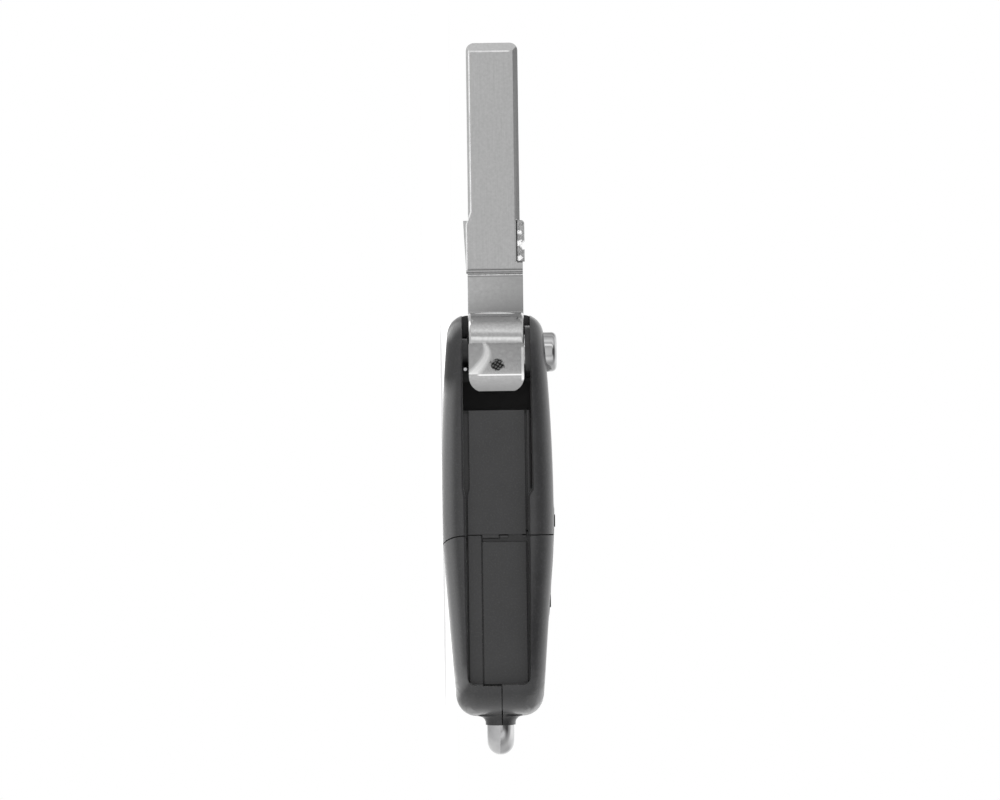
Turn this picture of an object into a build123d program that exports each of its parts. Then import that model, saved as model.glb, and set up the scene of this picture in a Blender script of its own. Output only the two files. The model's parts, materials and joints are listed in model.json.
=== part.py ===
from build123d import *
from math import asin, degrees
import os

os.makedirs("parts", exist_ok=True)

# Folding key remote. X runs from the blade's tip to the key-ring loop, the blade folds out of
# the open slot on the -Y side, and +Z is the button face. All sizes are in millimetres.
# X sizes count from the pivot that the blade folds on, Z sizes from the middle of the case.

# Overall sizes
blade_reach = 53.25
case_head_reach = 6.5
case_tail_reach = 62.6
loop_run = 6.8
loop_reach = case_tail_reach + loop_run
case_width = 36.0
crown_height = 9.55
crown_x = 27.0
crown_bend = 103.0
crown_turn = 3.9
back_shift = 0.095
rest_height = 9.42
head_end_height = 7.85
tail_drop_run = 4.6
tail_drop_x = case_tail_reach - tail_drop_run
tail_drop_height = 7.53
tail_end_height = 6.65
edge_round = 3.6
pivot_inset = 6.9

# Plan outline
head_slot_corner = 6.5
tail_slot_corner = 9.0
tail_far_corner = 11.0
head_far_corner = 15.0
side_bend = 120.0
end_bend = 30.0
tail_bulge = 0.45
tail_slot_setback = 1.6
tail_far_setback = 2.6
tail_far_inset = 3.0
side_bend_run = 26.6
side_bend_x = case_tail_reach - side_bend_run
head_far_setback = 5.5
head_bend_y = -2.0

# Walls, seams and general clearances
wall = 1.8
nose_wall = 1.2
seam = 0.2
seam_depth = 0.4
parting = 0.3
seat = 0.05
running = 0.06
clear = 0.3
cavity_half = 5.9
beyond = 4.0

# Seam between the head and the remote
remote_length = 31.5
seam_x = case_tail_reach - remote_length
seam_nose_run = 10.4
seam_nose_x = seam_x + seam_nose_run
seam_nose_radius = 17.0
back_seam_sag = 4.9

# Slot that the blade folds into
slot_wide_back = 5.75
slot_wide_front = 5.9
slot_back = 5.5
slot_front = 5.2
slot_step_setback = 7.8
slot_step_x = seam_x - slot_step_setback
slot_step_run = 1.2
slot_end_setback = 5.9
slot_end_x = case_tail_reach - slot_end_setback
slot_end_corner = 1.3
mouth_bevel = 0.4
mouth_slant = 40.0
floor_start_x = 9.9
floor_wall = 1.4
floor_trough = 0.95
floor_line = 0.35
floor_line_z = 4.8
floor_groove = 0.9
strip_top = -2.9
panel_setback = 1.1
tongue_reach = 0.55
gap_backing = 0.4
latch_low = 1.7
latch_high = 4.1
latch_depth = 0.6

# Blade
blade_thickness = 3.0
blade_half = 4.43
blade_tip_corner = 1.4
bevel_back = 0.5
bevel_front = 0.85
bevel_depth = 0.6
tip_bevel = 1.4
tip_bevel_depth = 0.85
shoulder_x = 22.7
shoulder_back = 5.3
shoulder_front = 5.2
shoulder_round = 0.6
shoulder_face = 4.7
shoulder_bevel = 0.9
lug_end_x = 15.6
lug_notch_x = 18.85
lug_notch_length = 1.2
lug_notch_depth = 0.4
lug_drop = 0.3
root_half = 4.85
root_line_x = 14.35
root_line_width = 0.25
root_line_depth = 0.12
blade_offset = 4.6
tang_length = 5.5
tang_half = 3.0
tang_thickness = 2.4

# Hub and blade holder
hub_radius = 6.8
hub_back = 4.65
hub_front = 4.85
hub_round = 0.5
hub_corner = 2.6
hub_clear = 0.3
holder_x = 13.6
holder_thickness = 3.5
holder_chamfer = 0.24
scoop_start_x = -1.6
scoop_end_x = 3.75
scoop_end_y = 2.7
scoop_hollow = 0.7
lip_x = 6.63
lip_y = 1.5
hub_web_back = -0.9
hub_web_front = 1.4
post_radius = 2.45
post_top = 1.0
roll_pin_radius = 0.6
roll_pin_x = 10.6

# Flip spring
flip_wire = 0.3
flip_radius = 2.85
flip_turns = 3
flip_pitch = 1.2
flip_start = -5.2
flip_leg = 6.3
spring_play = 0.1
spring_bore = flip_radius + flip_wire + spring_play
wire_sides = 8

# Release button and its spring
button_radius = 3.45
button_top = 10.45
button_step = 6.85
button_bottom = 3.6
button_round = 0.95
button_skin = 2.0
button_dish = 2.3
button_dish_depth = 0.15
stem_radius = 3.0
stem_hollow = 2.6
guide_wall = 1.0
release_wire = 0.25
release_radius = 2.0
release_turns = 4

# Key-ring loop
loop_half_width = 5.65
loop_rod = 2.35
loop_corner = 2.9
shank_rod = 1.5
shank_head_rod = 2.1
shank_head_run = 5.4
shank_head_x = case_tail_reach - shank_head_run
shank_head_length = 1.1
neck_rod = 2.58
neck_run = 1.4
neck_reach = case_tail_reach + neck_run
neck_root = 1.8
neck_root_x = case_tail_reach - neck_root
eye_notch_half = 3.0
eye_notch_depth = 3.4
eye_notch_x = case_tail_reach - eye_notch_depth
eye_notch_corner = 1.2

# Buttons of the remote
cap_first_setback = 1.95
cap_first_x = seam_x - cap_first_setback
cap_pitch = 6.95
cap_xs = {"unlock": cap_first_x, "boot": cap_first_x + cap_pitch, "lock": cap_first_x + 2 * cap_pitch}
cap_length = 4.6
cap_width = 10.0
cap_flange = 0.4
cap_bottom = 5.05
cap_proud = 0.17
cap_gap = 0.18
pad_setback = 5.2
pad_start_x = seam_x - pad_setback
pad_length = 21.1
pad_end_x = pad_start_x + pad_length
pad_width = 15.0
pad_corner = 6.7
pad_rise = 0.12
nib_length = 2.1
nib_width = 4.2
nib_height = 0.15

# Remote insides
cavity_end_run = 6.6
cavity_end_x = case_tail_reach - cavity_end_run
cell_radius = 10.0
cell_height = 3.2
cell_can_height = 2.7
cell_lid_radius = 9.0
cell_run = 15.0
cell_x = case_tail_reach - cell_run
cell_y = 1.2
board_bottom = 0.4
board_thickness = 1.0
board_end_gap = 1.0
board_end_x = cavity_end_x - board_end_gap
board_post_radius = 1.1
post_inset = 3.0
post_spacing = 13.5
post_slot_inset = 7.7
post_far_inset = 7.0
membrane_bottom = 3.65
membrane_thickness = 0.6
membrane_setback = 4.2
membrane_start_x = seam_x - membrane_setback
membrane_length = 19.9
membrane_end_x = membrane_start_x + membrane_length
membrane_width = 11.0
membrane_corner = 4.4
dome_radius = 1.6
dome_rise = 0.3
switch_size = 3.6
switch_body = 1.5
switch_plunger = 0.8
switch_top = 3.6
switch_chamfer = 0.35

# Head insides
chip_length = 12.0
chip_width = 6.0
chip_height = 3.0
chip_chamfer = 0.75
chip_x = 4.5
chip_far_inset = 12.0
screw_setback = 12.1
screw_x = seam_x - screw_setback
screw_far_inset = 5.6
screw_radius = 1.0
screw_head_radius = 1.9
screw_head_height = 1.1
screw_head_z = -8.3
screw_end_z = 4.2
screw_boss_radius = 2.8
screw_slot = 0.5
screw_cross = 2.7
head_cavity_setback = 8.3
head_cavity_end_x = seam_x - head_cavity_setback

# Small parts of the circuit board
block_chamfer = 0.1
controller_run = 21.4
controller_x = case_tail_reach - controller_run
controller_slot_inset = 13.0
controller_size = (5.0, 4.0, 1.4)
crystal_run = 14.0
crystal_x = case_tail_reach - crystal_run
crystal_slot_inset = 11.5
crystal_size = (3.2, 5.0, 1.1)
capacitor_run = 29.1
capacitor_x = case_tail_reach - capacitor_run
capacitor_far_inset = 9.5
capacitor_size = (2.0, 1.25, 0.8)
lamp_run = 12.4
lamp_x = case_tail_reach - lamp_run
lamp_size = (1.6, 0.8, 0.7)
pipe_radius = 0.9
coil_run = 13.1
coil_x = case_tail_reach - coil_run
coil_far_inset = 10.4
coil_radius = 2.4
coil_core = 1.5
coil_height = 1.9
coil_flange = 0.4
contact_thickness = 0.25
contact_width = 4.0
contact_lip = 2.2
contact_reach = 4.0

# Places in the part's own frame
pivot_x = (blade_reach - loop_reach) / 2
pivot_y = pivot_inset - case_width / 2
mid_z = rest_height
slot_side_y = -case_width / 2
far_side_y = case_width / 2
blade_y = pivot_y + blade_offset
folded_face_y = pivot_y - blade_offset + holder_thickness / 2
floor_y = folded_face_y + clear / 2
floor_back_y = floor_y + floor_wall
slot_back_y = blade_y + holder_thickness / 2 + 2 * seat
chip_y = far_side_y - chip_far_inset
screw_y = far_side_y - screw_far_inset
post_xs = (cavity_end_x - post_inset - post_spacing, cavity_end_x - post_inset)
post_ys = (slot_side_y + post_slot_inset, far_side_y - post_far_inset)
controller_place = (controller_x, slot_side_y + controller_slot_inset)
crystal_place = (crystal_x, slot_side_y + crystal_slot_inset)
capacitor_place = (capacitor_x, far_side_y - capacitor_far_inset)
lamp_place = (lamp_x, 0)
coil_place = (coil_x, far_side_y - coil_far_inset)


def along(distance):
    return pivot_x + distance


def above(height):
    return mid_z + height


outer_x0 = along(-case_head_reach - beyond)
outer_x1 = along(loop_reach + beyond)
outer_y0 = slot_side_y - beyond
outer_y1 = far_side_y + beyond
board_top = board_bottom + board_thickness


def plan_outline():
    FilletPolyline(
        (along(-case_head_reach), slot_side_y),
        (along(case_tail_reach - tail_slot_setback), slot_side_y),
        (along(case_tail_reach + tail_bulge), 0),
        (along(case_tail_reach - tail_far_setback), far_side_y - tail_far_inset),
        (along(side_bend_x), far_side_y),
        (along(-case_head_reach + head_far_setback), far_side_y),
        (along(-case_head_reach), head_bend_y),
        radius=[
            head_slot_corner,
            tail_slot_corner,
            end_bend,
            tail_far_corner,
            side_bend,
            head_far_corner,
            end_bend,
        ],
        close=True,
    )


def box_outline(x0, x1, y0, y1):
    Polyline((x0, y0), (x1, y0), (x1, y1), (x0, y1), close=True)


# Outer form: the plan outline cut to the crowned side profile, with rounded rims and a flat that it lies on
head_drop = crown_height - head_end_height
head_run = crown_x + case_head_reach
head_bend = (head_run**2 + head_drop**2) / (2 * head_drop)
head_turn = degrees(asin(head_run / head_bend))

split_z = above(-back_shift / 2)

with BuildPart() as case_form:
    with BuildSketch(Plane.XY.offset(-beyond)):
        with BuildLine():
            plan_outline()
        make_face()
    extrude(amount=2 * (crown_height + beyond))
    with BuildSketch(Plane.XZ):
        with BuildLine():
            crown = (along(crown_x), above(crown_height))
            head_arc = JernArc(crown, (-1, 0), head_bend, head_turn)
            tail_arc = JernArc(crown, (1, 0), crown_bend, -crown_turn)
            tail_line = Line(tail_arc @ 1, (along(tail_drop_x), above(tail_drop_height)))
            tail_fall = Line(tail_line @ 1, (outer_x1, above(tail_end_height)))
            head_flat = Line(head_arc @ 1, (outer_x0, above(head_end_height)))
            Polyline(head_flat @ 1, (outer_x0, split_z), (outer_x1, split_z), tail_fall @ 1)
        make_face()
        mirror(about=Plane.XZ.offset(-split_z))
    extrude(amount=case_width, both=True, mode=Mode.INTERSECT)
    side_walls = case_form.faces().filter_by(lambda face: abs(face.normal_at().Z) < seat)
    fillet(side_walls.edges().filter_by(Axis.Z, reverse=True), edge_round)
    with BuildSketch(Plane.XY):
        with BuildLine():
            box_outline(outer_x0, outer_x1, outer_y0, outer_y1)
        make_face()
    extrude(amount=2 * crown_height, mode=Mode.INTERSECT)


def slot_outline():
    Polyline(
        (outer_x0, above(-slot_wide_back)),
        (along(slot_step_x), above(-slot_wide_back)),
        (along(slot_step_x + slot_step_run), above(-slot_back)),
        (along(slot_end_x), above(-slot_back)),
        (along(slot_end_x), above(slot_front)),
        (along(slot_step_x + slot_step_run), above(slot_front)),
        (along(slot_step_x), above(slot_wide_front)),
        (outer_x0, above(slot_wide_front)),
        close=True,
    )


# Space that the blade and the hub need: the open slot with its bevelled mouth and the hub's pocket
with BuildPart() as blade_space:
    with BuildSketch(Plane.XZ.offset(-floor_y)):
        with BuildLine():
            slot_outline()
        make_face()
    extrude(amount=floor_y - outer_y0)
    fillet(blade_space.edges().filter_by(Axis.Y).group_by(Axis.X)[-1], slot_end_corner)
    with BuildSketch(Plane.XZ.offset(-slot_side_y - mouth_bevel)):
        with BuildLine():
            slot_outline()
        make_face()
        fillet(vertices().group_by(Axis.X)[-1], slot_end_corner)
    extrude(amount=beyond, taper=-mouth_slant)
    with BuildSketch(Plane.XY.offset(above(-slot_wide_back))):
        with Locations((pivot_x, pivot_y)):
            Circle(hub_radius + hub_clear)
        with BuildLine():
            box_outline(outer_x0, pivot_x, outer_y0, slot_back_y)
        make_face()
        with BuildLine():
            box_outline(pivot_x, along(floor_start_x), outer_y0, slot_back_y)
        make_face()
    extrude(amount=slot_wide_back + slot_wide_front)

# Shallow groove that marks the parting of the front and back shells all round the case
with BuildSketch() as groove_plan:
    with BuildLine():
        plan_outline()
    make_face()
    offset(amount=-seam_depth)

with BuildPart() as parting_groove:
    with BuildSketch(Plane.XY.offset(above(parting - seam / 2))):
        with BuildLine():
            box_outline(outer_x0, outer_x1, outer_y0, outer_y1)
        make_face()
        add(groove_plan.sketch, mode=Mode.SUBTRACT)
    extrude(amount=seam)

# Grooves in the slot's floor: a trough beside each wall of the head, narrow lines in the remote
with BuildPart() as floor_grooves:
    with BuildSketch(Plane.XZ.offset(-floor_y - floor_groove)):
        with BuildLine():
            Polyline(
                (along(floor_start_x), above(-slot_wide_back)),
                (along(slot_step_x), above(-slot_wide_back)),
                (along(slot_step_x + slot_step_run), above(-slot_back)),
                (along(slot_end_x), above(-slot_back)),
                (along(slot_end_x), above(-slot_back + floor_line)),
                (along(slot_step_x + slot_step_run), above(-slot_back + floor_line)),
                (along(slot_step_x), above(-slot_wide_back + floor_trough)),
                (along(floor_start_x), above(-slot_wide_back + floor_trough)),
                close=True,
            )
        make_face()
        with BuildLine():
            box_outline(along(floor_start_x), along(slot_end_x), above(floor_line_z), above(floor_line_z + floor_line))
        make_face()
        with BuildLine():
            box_outline(
                along(floor_start_x), along(slot_step_x), above(slot_wide_front - floor_line), above(slot_wide_front)
            )
        make_face()
    extrude(amount=2 * floor_groove)

# Plan zones on each side of the seam between the head and the remote
with BuildSketch() as head_front_zone:
    with BuildLine():
        box_outline(outer_x0, along(seam_x), outer_y0, outer_y1)
    make_face()
    with Locations((along(seam_nose_x), 0)):
        Circle(seam_nose_radius, mode=Mode.SUBTRACT)

with BuildSketch() as remote_front_zone:
    with BuildLine():
        box_outline(along(seam_x + seam), outer_x1, outer_y0, outer_y1)
    make_face()
    with Locations((along(seam_nose_x), 0)):
        Circle(seam_nose_radius - seam)

back_seam_bend = (far_side_y**2 + back_seam_sag**2) / (2 * back_seam_sag)
with BuildSketch() as head_back_zone:
    with Locations((along(seam_x + back_seam_sag - back_seam_bend), 0)):
        Circle(back_seam_bend)

with BuildSketch() as remote_back_zone:
    with BuildLine():
        box_outline(along(crown_x), outer_x1, outer_y0, outer_y1)
    make_face()
    with Locations((along(seam_x + back_seam_sag - back_seam_bend), 0)):
        Circle(back_seam_bend + seam, mode=Mode.SUBTRACT)

# Plans of the hollows inside the shells
with BuildSketch() as inner_plan:
    with BuildLine():
        plan_outline()
    make_face()
    offset(amount=-wall)

with BuildSketch() as head_front_hollow:
    add(inner_plan.sketch)
    hollow_x0 = along(floor_start_x + floor_wall)
    with BuildLine():
        box_outline(hollow_x0, along(head_cavity_end_x), floor_back_y, far_side_y)
    make_face(mode=Mode.INTERSECT)

with BuildSketch() as head_back_hollow:
    add(inner_plan.sketch)
    with BuildLine():
        box_outline(hollow_x0, along(seam_x - wall), floor_back_y, far_side_y)
    make_face(mode=Mode.INTERSECT)

with BuildSketch() as nose_hollow:
    with Locations((along(seam_nose_x), 0)):
        Circle(seam_nose_radius - seam - nose_wall)
    with BuildLine():
        box_outline(outer_x0, along(seam_x + seam + 2 * wall), floor_back_y, outer_y1)
    make_face(mode=Mode.INTERSECT)

with BuildSketch() as remote_front_hollow:
    add(inner_plan.sketch)
    with BuildLine():
        box_outline(along(seam_x - beyond), along(cavity_end_x), floor_back_y, far_side_y)
    make_face(mode=Mode.INTERSECT)
    with BuildLine():
        box_outline(outer_x0, along(seam_x + seam + wall), outer_y0, outer_y1)
    make_face(mode=Mode.SUBTRACT)
    add(nose_hollow.sketch)

with BuildSketch() as remote_back_hollow:
    add(inner_plan.sketch)
    with BuildLine():
        box_outline(along(crown_x), along(cavity_end_x), floor_back_y, far_side_y)
    make_face(mode=Mode.INTERSECT)
    with Locations((along(seam_x + back_seam_sag - back_seam_bend), 0)):
        Circle(back_seam_bend + seam + wall, mode=Mode.SUBTRACT)
    with Locations((along(cell_x), cell_y)):
        Circle(cell_radius + seat)

# Head, front shell: the slot's front wall, the release button's hole and the screw's boss
with BuildPart() as head_front_shell:
    add(case_form.part)
    with BuildSketch(Plane.XY.offset(above(parting))):
        add(head_front_zone.sketch)
    extrude(amount=crown_height, mode=Mode.INTERSECT)
    add(blade_space.part, mode=Mode.SUBTRACT)
    add(parting_groove.part, mode=Mode.SUBTRACT)
    with BuildSketch(Plane.XY.offset(mid_z)):
        add(head_front_hollow.sketch)
    extrude(amount=cavity_half, mode=Mode.SUBTRACT)
    with BuildSketch(Plane.XY.offset(mid_z)):
        with BuildLine():
            box_outline(along(floor_start_x), outer_x1, floor_y - seat, floor_back_y + seat)
        make_face()
    extrude(amount=slot_wide_front, mode=Mode.SUBTRACT)
    with BuildSketch(Plane.XY.offset(above(hub_front + clear / 2))):
        with Locations((pivot_x, pivot_y)):
            Circle(button_radius + running + guide_wall)
    extrude(amount=slot_wide_front + seat - hub_front - clear / 2)
    with BuildSketch(Plane.XY.offset(mid_z)):
        with Locations((pivot_x, pivot_y)):
            Circle(button_radius + running)
    extrude(amount=2 * crown_height, mode=Mode.SUBTRACT)
    with BuildSketch(Plane.XY.offset(above(parting))):
        with Locations((along(screw_x), screw_y)):
            Circle(screw_boss_radius)
            Circle(screw_radius, mode=Mode.SUBTRACT)
    extrude(amount=cavity_half - parting)

# Head, back shell: the slot's back wall and floor, the pivot post and the chip's pocket
with BuildPart() as head_back_shell:
    add(case_form.part)
    with BuildSketch(Plane.XY):
        add(head_back_zone.sketch)
    extrude(amount=above(parting), mode=Mode.INTERSECT)
    add(parting_groove.part, mode=Mode.SUBTRACT)
    with BuildSketch(Plane.XY.offset(above(-cavity_half))):
        add(head_back_hollow.sketch)
    extrude(amount=crown_height, mode=Mode.SUBTRACT)
    with BuildSketch(Plane.XY.offset(above(-cavity_half))):
        with BuildLine():
            box_outline(along(floor_start_x), along(seam_x), floor_y, floor_back_y)
        make_face()
    extrude(amount=cavity_half + parting)
    with BuildSketch(Plane.XY.offset(above(parting))):
        with BuildLine():
            box_outline(along(floor_start_x), along(seam_x), floor_y, floor_back_y)
        make_face()
        with Locations((along(seam_nose_x), 0)):
            Circle(seam_nose_radius, mode=Mode.SUBTRACT)
    extrude(amount=slot_wide_front - parting - seam / 2)
    with BuildSketch(Plane.XY.offset(above(-slot_back))):
        with BuildLine():
            box_outline(along(seam_x), outer_x1, outer_y0, floor_back_y + seam)
        make_face()
    extrude(amount=crown_height, mode=Mode.SUBTRACT)
    with BuildSketch(Plane.XY.offset(above(strip_top + seam))):
        with BuildLine():
            box_outline(along(seam_x), along(seam_x + tongue_reach), floor_y + seam, floor_back_y)
        make_face()
    extrude(amount=parting - strip_top - 2 * seam)
    add(blade_space.part, mode=Mode.SUBTRACT)
    add(floor_grooves.part, mode=Mode.SUBTRACT)
    with BuildSketch(Plane.XY.offset(above(-slot_wide_back - seat))):
        with Locations((pivot_x, pivot_y)):
            Circle(post_radius)
    extrude(amount=post_top + slot_wide_back + seat)
    with BuildSketch(Plane.XY.offset(above(parting - chip_height - clear))):
        with Locations((along(chip_x), chip_y)):
            Rectangle(chip_length + 2 * seat, chip_width + 2 * seat)
    extrude(amount=crown_height, mode=Mode.SUBTRACT)
    with BuildSketch(Plane.XY.offset(above(screw_head_z))):
        with Locations((along(screw_x), screw_y)):
            Circle(screw_boss_radius)
    extrude(amount=parting - screw_head_z)
    with BuildSketch(Plane.XY):
        with Locations((along(screw_x), screw_y)):
            Circle(screw_radius + seat)
    extrude(amount=crown_height + parting, mode=Mode.SUBTRACT)
    with BuildSketch(Plane.XY):
        with Locations((along(screw_x), screw_y)):
            Circle(screw_head_radius + seat)
    extrude(amount=above(screw_head_z + screw_head_height + seat), mode=Mode.SUBTRACT)

# Cheese-head screw that holds the two head shells together
with BuildPart() as head_screw:
    with BuildSketch(Plane.XY.offset(above(screw_head_z))):
        with Locations((along(screw_x), screw_y)):
            Circle(screw_head_radius)
    extrude(amount=screw_head_height)
    with BuildSketch(Plane.XY.offset(above(screw_head_z))):
        with Locations((along(screw_x), screw_y)):
            Circle(screw_radius)
    extrude(amount=screw_end_z - screw_head_z)
    with BuildSketch(Plane.XY.offset(above(screw_head_z))):
        with Locations((along(screw_x), screw_y)):
            Rectangle(screw_cross, screw_slot)
            Rectangle(screw_slot, screw_cross)
    extrude(amount=screw_slot, mode=Mode.SUBTRACT)

# Immobiliser chip
with BuildPart() as transponder_chip:
    with BuildSketch(Plane.XY.offset(above(parting - chip_height - clear + seat))):
        with Locations((along(chip_x), chip_y)):
            Rectangle(chip_length, chip_width)
    extrude(amount=chip_height)
    chamfer(transponder_chip.edges().filter_by(Axis.Z), chip_chamfer)

# Blade: a blank bar with bevelled edges and tip, stop shoulders and a tang in the holder
with BuildPart() as key_blade:
    with BuildSketch(Plane.YZ.offset(along(-blade_reach))):
        with BuildLine():
            Polyline(
                (blade_y - blade_thickness / 2, above(-blade_half + bevel_back)),
                (blade_y - blade_thickness / 2, above(blade_half - bevel_front)),
                (blade_y - blade_thickness / 2 + bevel_depth, above(blade_half)),
                (blade_y + blade_thickness / 2 - bevel_depth, above(blade_half)),
                (blade_y + blade_thickness / 2, above(blade_half - bevel_front)),
                (blade_y + blade_thickness / 2, above(-blade_half + bevel_back)),
                (blade_y + blade_thickness / 2 - bevel_depth, above(-blade_half)),
                (blade_y - blade_thickness / 2 + bevel_depth, above(-blade_half)),
                close=True,
            )
        make_face()
    extrude(amount=blade_reach - shoulder_x)
    with BuildSketch(Plane.XZ.offset(-blade_y)):
        with BuildLine():
            box_outline(along(-blade_reach), along(-shoulder_x), above(-blade_half), above(blade_half))
        make_face()
        fillet(vertices().group_by(Axis.X)[0], blade_tip_corner)
    extrude(amount=blade_thickness, both=True, mode=Mode.INTERSECT)
    with BuildSketch(Plane.XY):
        for side in (-1, 1):
            face_y = blade_y + side * blade_thickness / 2
            with BuildLine():
                Polyline(
                    (along(-blade_reach), face_y),
                    (along(-blade_reach + tip_bevel), face_y),
                    (along(-blade_reach), face_y - side * tip_bevel_depth),
                    close=True,
                )
            make_face()
    extrude(amount=2 * crown_height, mode=Mode.SUBTRACT)
    with BuildSketch(Plane.XZ.offset(-blade_y)):
        with BuildLine():
            Polyline(
                (along(-shoulder_x), above(-shoulder_back)),
                (along(-holder_x), above(-root_half)),
                (along(-holder_x), above(root_half)),
                (along(-lug_end_x), above(root_half)),
                (along(-lug_end_x), above(shoulder_front)),
                (along(-shoulder_x), above(shoulder_front)),
                close=True,
            )
        make_face()
        with BuildLine():
            box_outline(
                along(-lug_notch_x),
                along(-lug_notch_x + lug_notch_length),
                above(shoulder_front - lug_notch_depth),
                above(shoulder_front + lug_notch_depth),
            )
        make_face(mode=Mode.SUBTRACT)
        fillet(vertices().group_by(Axis.X)[0].group_by(Axis.Y)[-1], shoulder_round)
    extrude(amount=blade_thickness / 2, both=True)
    with BuildSketch(Plane.YZ.offset(along(-shoulder_x))):
        for side in (-1, 1):
            face_y = blade_y + side * blade_thickness / 2
            with BuildLine():
                Polyline(
                    (face_y, above(-shoulder_face)),
                    (face_y, above(-shoulder_face - shoulder_bevel)),
                    (face_y - side * shoulder_bevel, above(-shoulder_face - shoulder_bevel)),
                    close=True,
                )
            make_face()
            with Locations((face_y, above(blade_half - bevel_front + shoulder_bevel))):
                Rectangle(2 * lug_drop, 2 * shoulder_bevel)
    extrude(amount=shoulder_x - lug_end_x, mode=Mode.SUBTRACT)
    with BuildSketch(Plane.XY):
        for side in (-1, 1):
            with Locations((along(-root_line_x), blade_y + side * blade_thickness / 2)):
                Rectangle(root_line_width, 2 * root_line_depth)
    extrude(amount=2 * crown_height, mode=Mode.SUBTRACT)
    with BuildSketch(Plane.XZ.offset(-blade_y)):
        with Locations((along(-holder_x + tang_length / 2), mid_z)):
            Rectangle(tang_length, 2 * tang_half)
    extrude(amount=tang_thickness / 2, both=True)
    with BuildSketch(Plane.XY):
        with Locations((along(-roll_pin_x), blade_y)):
            Circle(roll_pin_radius + seat)
    extrude(amount=2 * crown_height, mode=Mode.SUBTRACT)

# Hub: a drum with a hollow finger scoop above a lip, and the holder that takes the blade's tang
scoop_start_y = (hub_radius**2 - scoop_start_x**2) ** 0.5
scoop_start = Vector(along(scoop_start_x), pivot_y - scoop_start_y)
scoop_end = Vector(along(scoop_end_x), pivot_y - scoop_end_y)
lip_end = Vector(along(lip_x), pivot_y - lip_y)
lip_beyond = lip_end + (lip_end - scoop_end)
scoop_inward = (scoop_end - scoop_start).rotate(Axis.Z, 90).normalized()
scoop_deepest = (scoop_start + scoop_end) / 2 + scoop_inward * scoop_hollow
with BuildPart() as blade_hub:
    with BuildSketch(Plane.XY.offset(above(-hub_back))):
        with Locations((pivot_x, pivot_y)):
            Circle(hub_radius)
    extrude(amount=hub_back + hub_front)
    fillet(blade_hub.edges().filter_by(GeomType.CIRCLE), hub_round)
    with BuildSketch(Plane.XZ):
        with BuildLine():
            box_outline(outer_x0, along(hub_radius), above(-hub_back), above(hub_front))
        make_face()
        fillet(vertices().group_by(Axis.X)[-1], hub_corner)
    extrude(amount=case_width, both=True, mode=Mode.INTERSECT)
    with BuildSketch(Plane.XZ.offset(-blade_y)):
        with BuildLine():
            box_outline(along(-holder_x), pivot_x, above(-hub_back), above(hub_front))
        make_face()
    extrude(amount=holder_thickness / 2, both=True)
    chamfer(blade_hub.edges().filter_by(Axis.Z).group_by(Axis.X)[0], holder_chamfer)
    with BuildSketch(Plane.XY):
        with BuildLine():
            ThreePointArc(scoop_start, scoop_deepest, scoop_end)
            Polyline(
                scoop_end, lip_beyond, (lip_beyond.X, outer_y0), (along(scoop_start_x), outer_y0), scoop_start
            )
        make_face()
    extrude(amount=2 * crown_height, mode=Mode.SUBTRACT)
    with BuildSketch(Plane.XY.offset(above(-hub_back))):
        with Locations((pivot_x, pivot_y)):
            Circle(spring_bore)
    extrude(amount=hub_back + hub_web_back, mode=Mode.SUBTRACT)
    with BuildSketch(Plane.XY):
        with Locations((pivot_x, pivot_y)):
            Circle(post_radius + running)
    extrude(amount=2 * crown_height, mode=Mode.SUBTRACT)
    with BuildSketch(Plane.XY.offset(above(hub_web_front))):
        with Locations((pivot_x, pivot_y)):
            Circle(stem_radius + running)
    extrude(amount=crown_height, mode=Mode.SUBTRACT)
    with BuildSketch(Plane.XZ.offset(-blade_y)):
        with BuildLine():
            tang_end = along(-holder_x + tang_length + seat)
            box_outline(outer_x0 - tang_length, tang_end, above(-tang_half - seat), above(tang_half + seat))
        make_face()
    extrude(amount=tang_thickness / 2 + seat, both=True, mode=Mode.SUBTRACT)
    with BuildSketch(Plane.XY):
        with Locations((along(-roll_pin_x), blade_y)):
            Circle(roll_pin_radius + seat)
    extrude(amount=2 * crown_height, mode=Mode.SUBTRACT)

# Roll pin that locks the tang in its holder
with BuildPart() as blade_roll_pin:
    with BuildSketch(Plane.XY.offset(above(-hub_back + seat))):
        with Locations((along(-roll_pin_x), blade_y)):
            Circle(roll_pin_radius)
            Circle(roll_pin_radius / 2, mode=Mode.SUBTRACT)
    extrude(amount=hub_back + hub_front - 2 * seat)

# Flip spring: a coil round the post with a straight leg in the gap behind the hub
with BuildPart() as flip_spring:
    with BuildLine():
        Helix(flip_pitch, flip_turns * flip_pitch, flip_radius, center=(pivot_x, pivot_y, above(flip_start)))
    with BuildSketch(Plane((pivot_x + flip_radius, pivot_y, above(flip_start)), x_dir=(1, 0, 0), z_dir=(0, 1, 0))):
        RegularPolygon(flip_wire, wire_sides)
    sweep(is_frenet=True)
    with BuildSketch(Plane((pivot_x + flip_radius, pivot_y, above(flip_start)), x_dir=(1, 0, 0), z_dir=(0, -1, 0))):
        RegularPolygon(flip_wire, wire_sides)
    extrude(amount=flip_leg)

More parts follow.
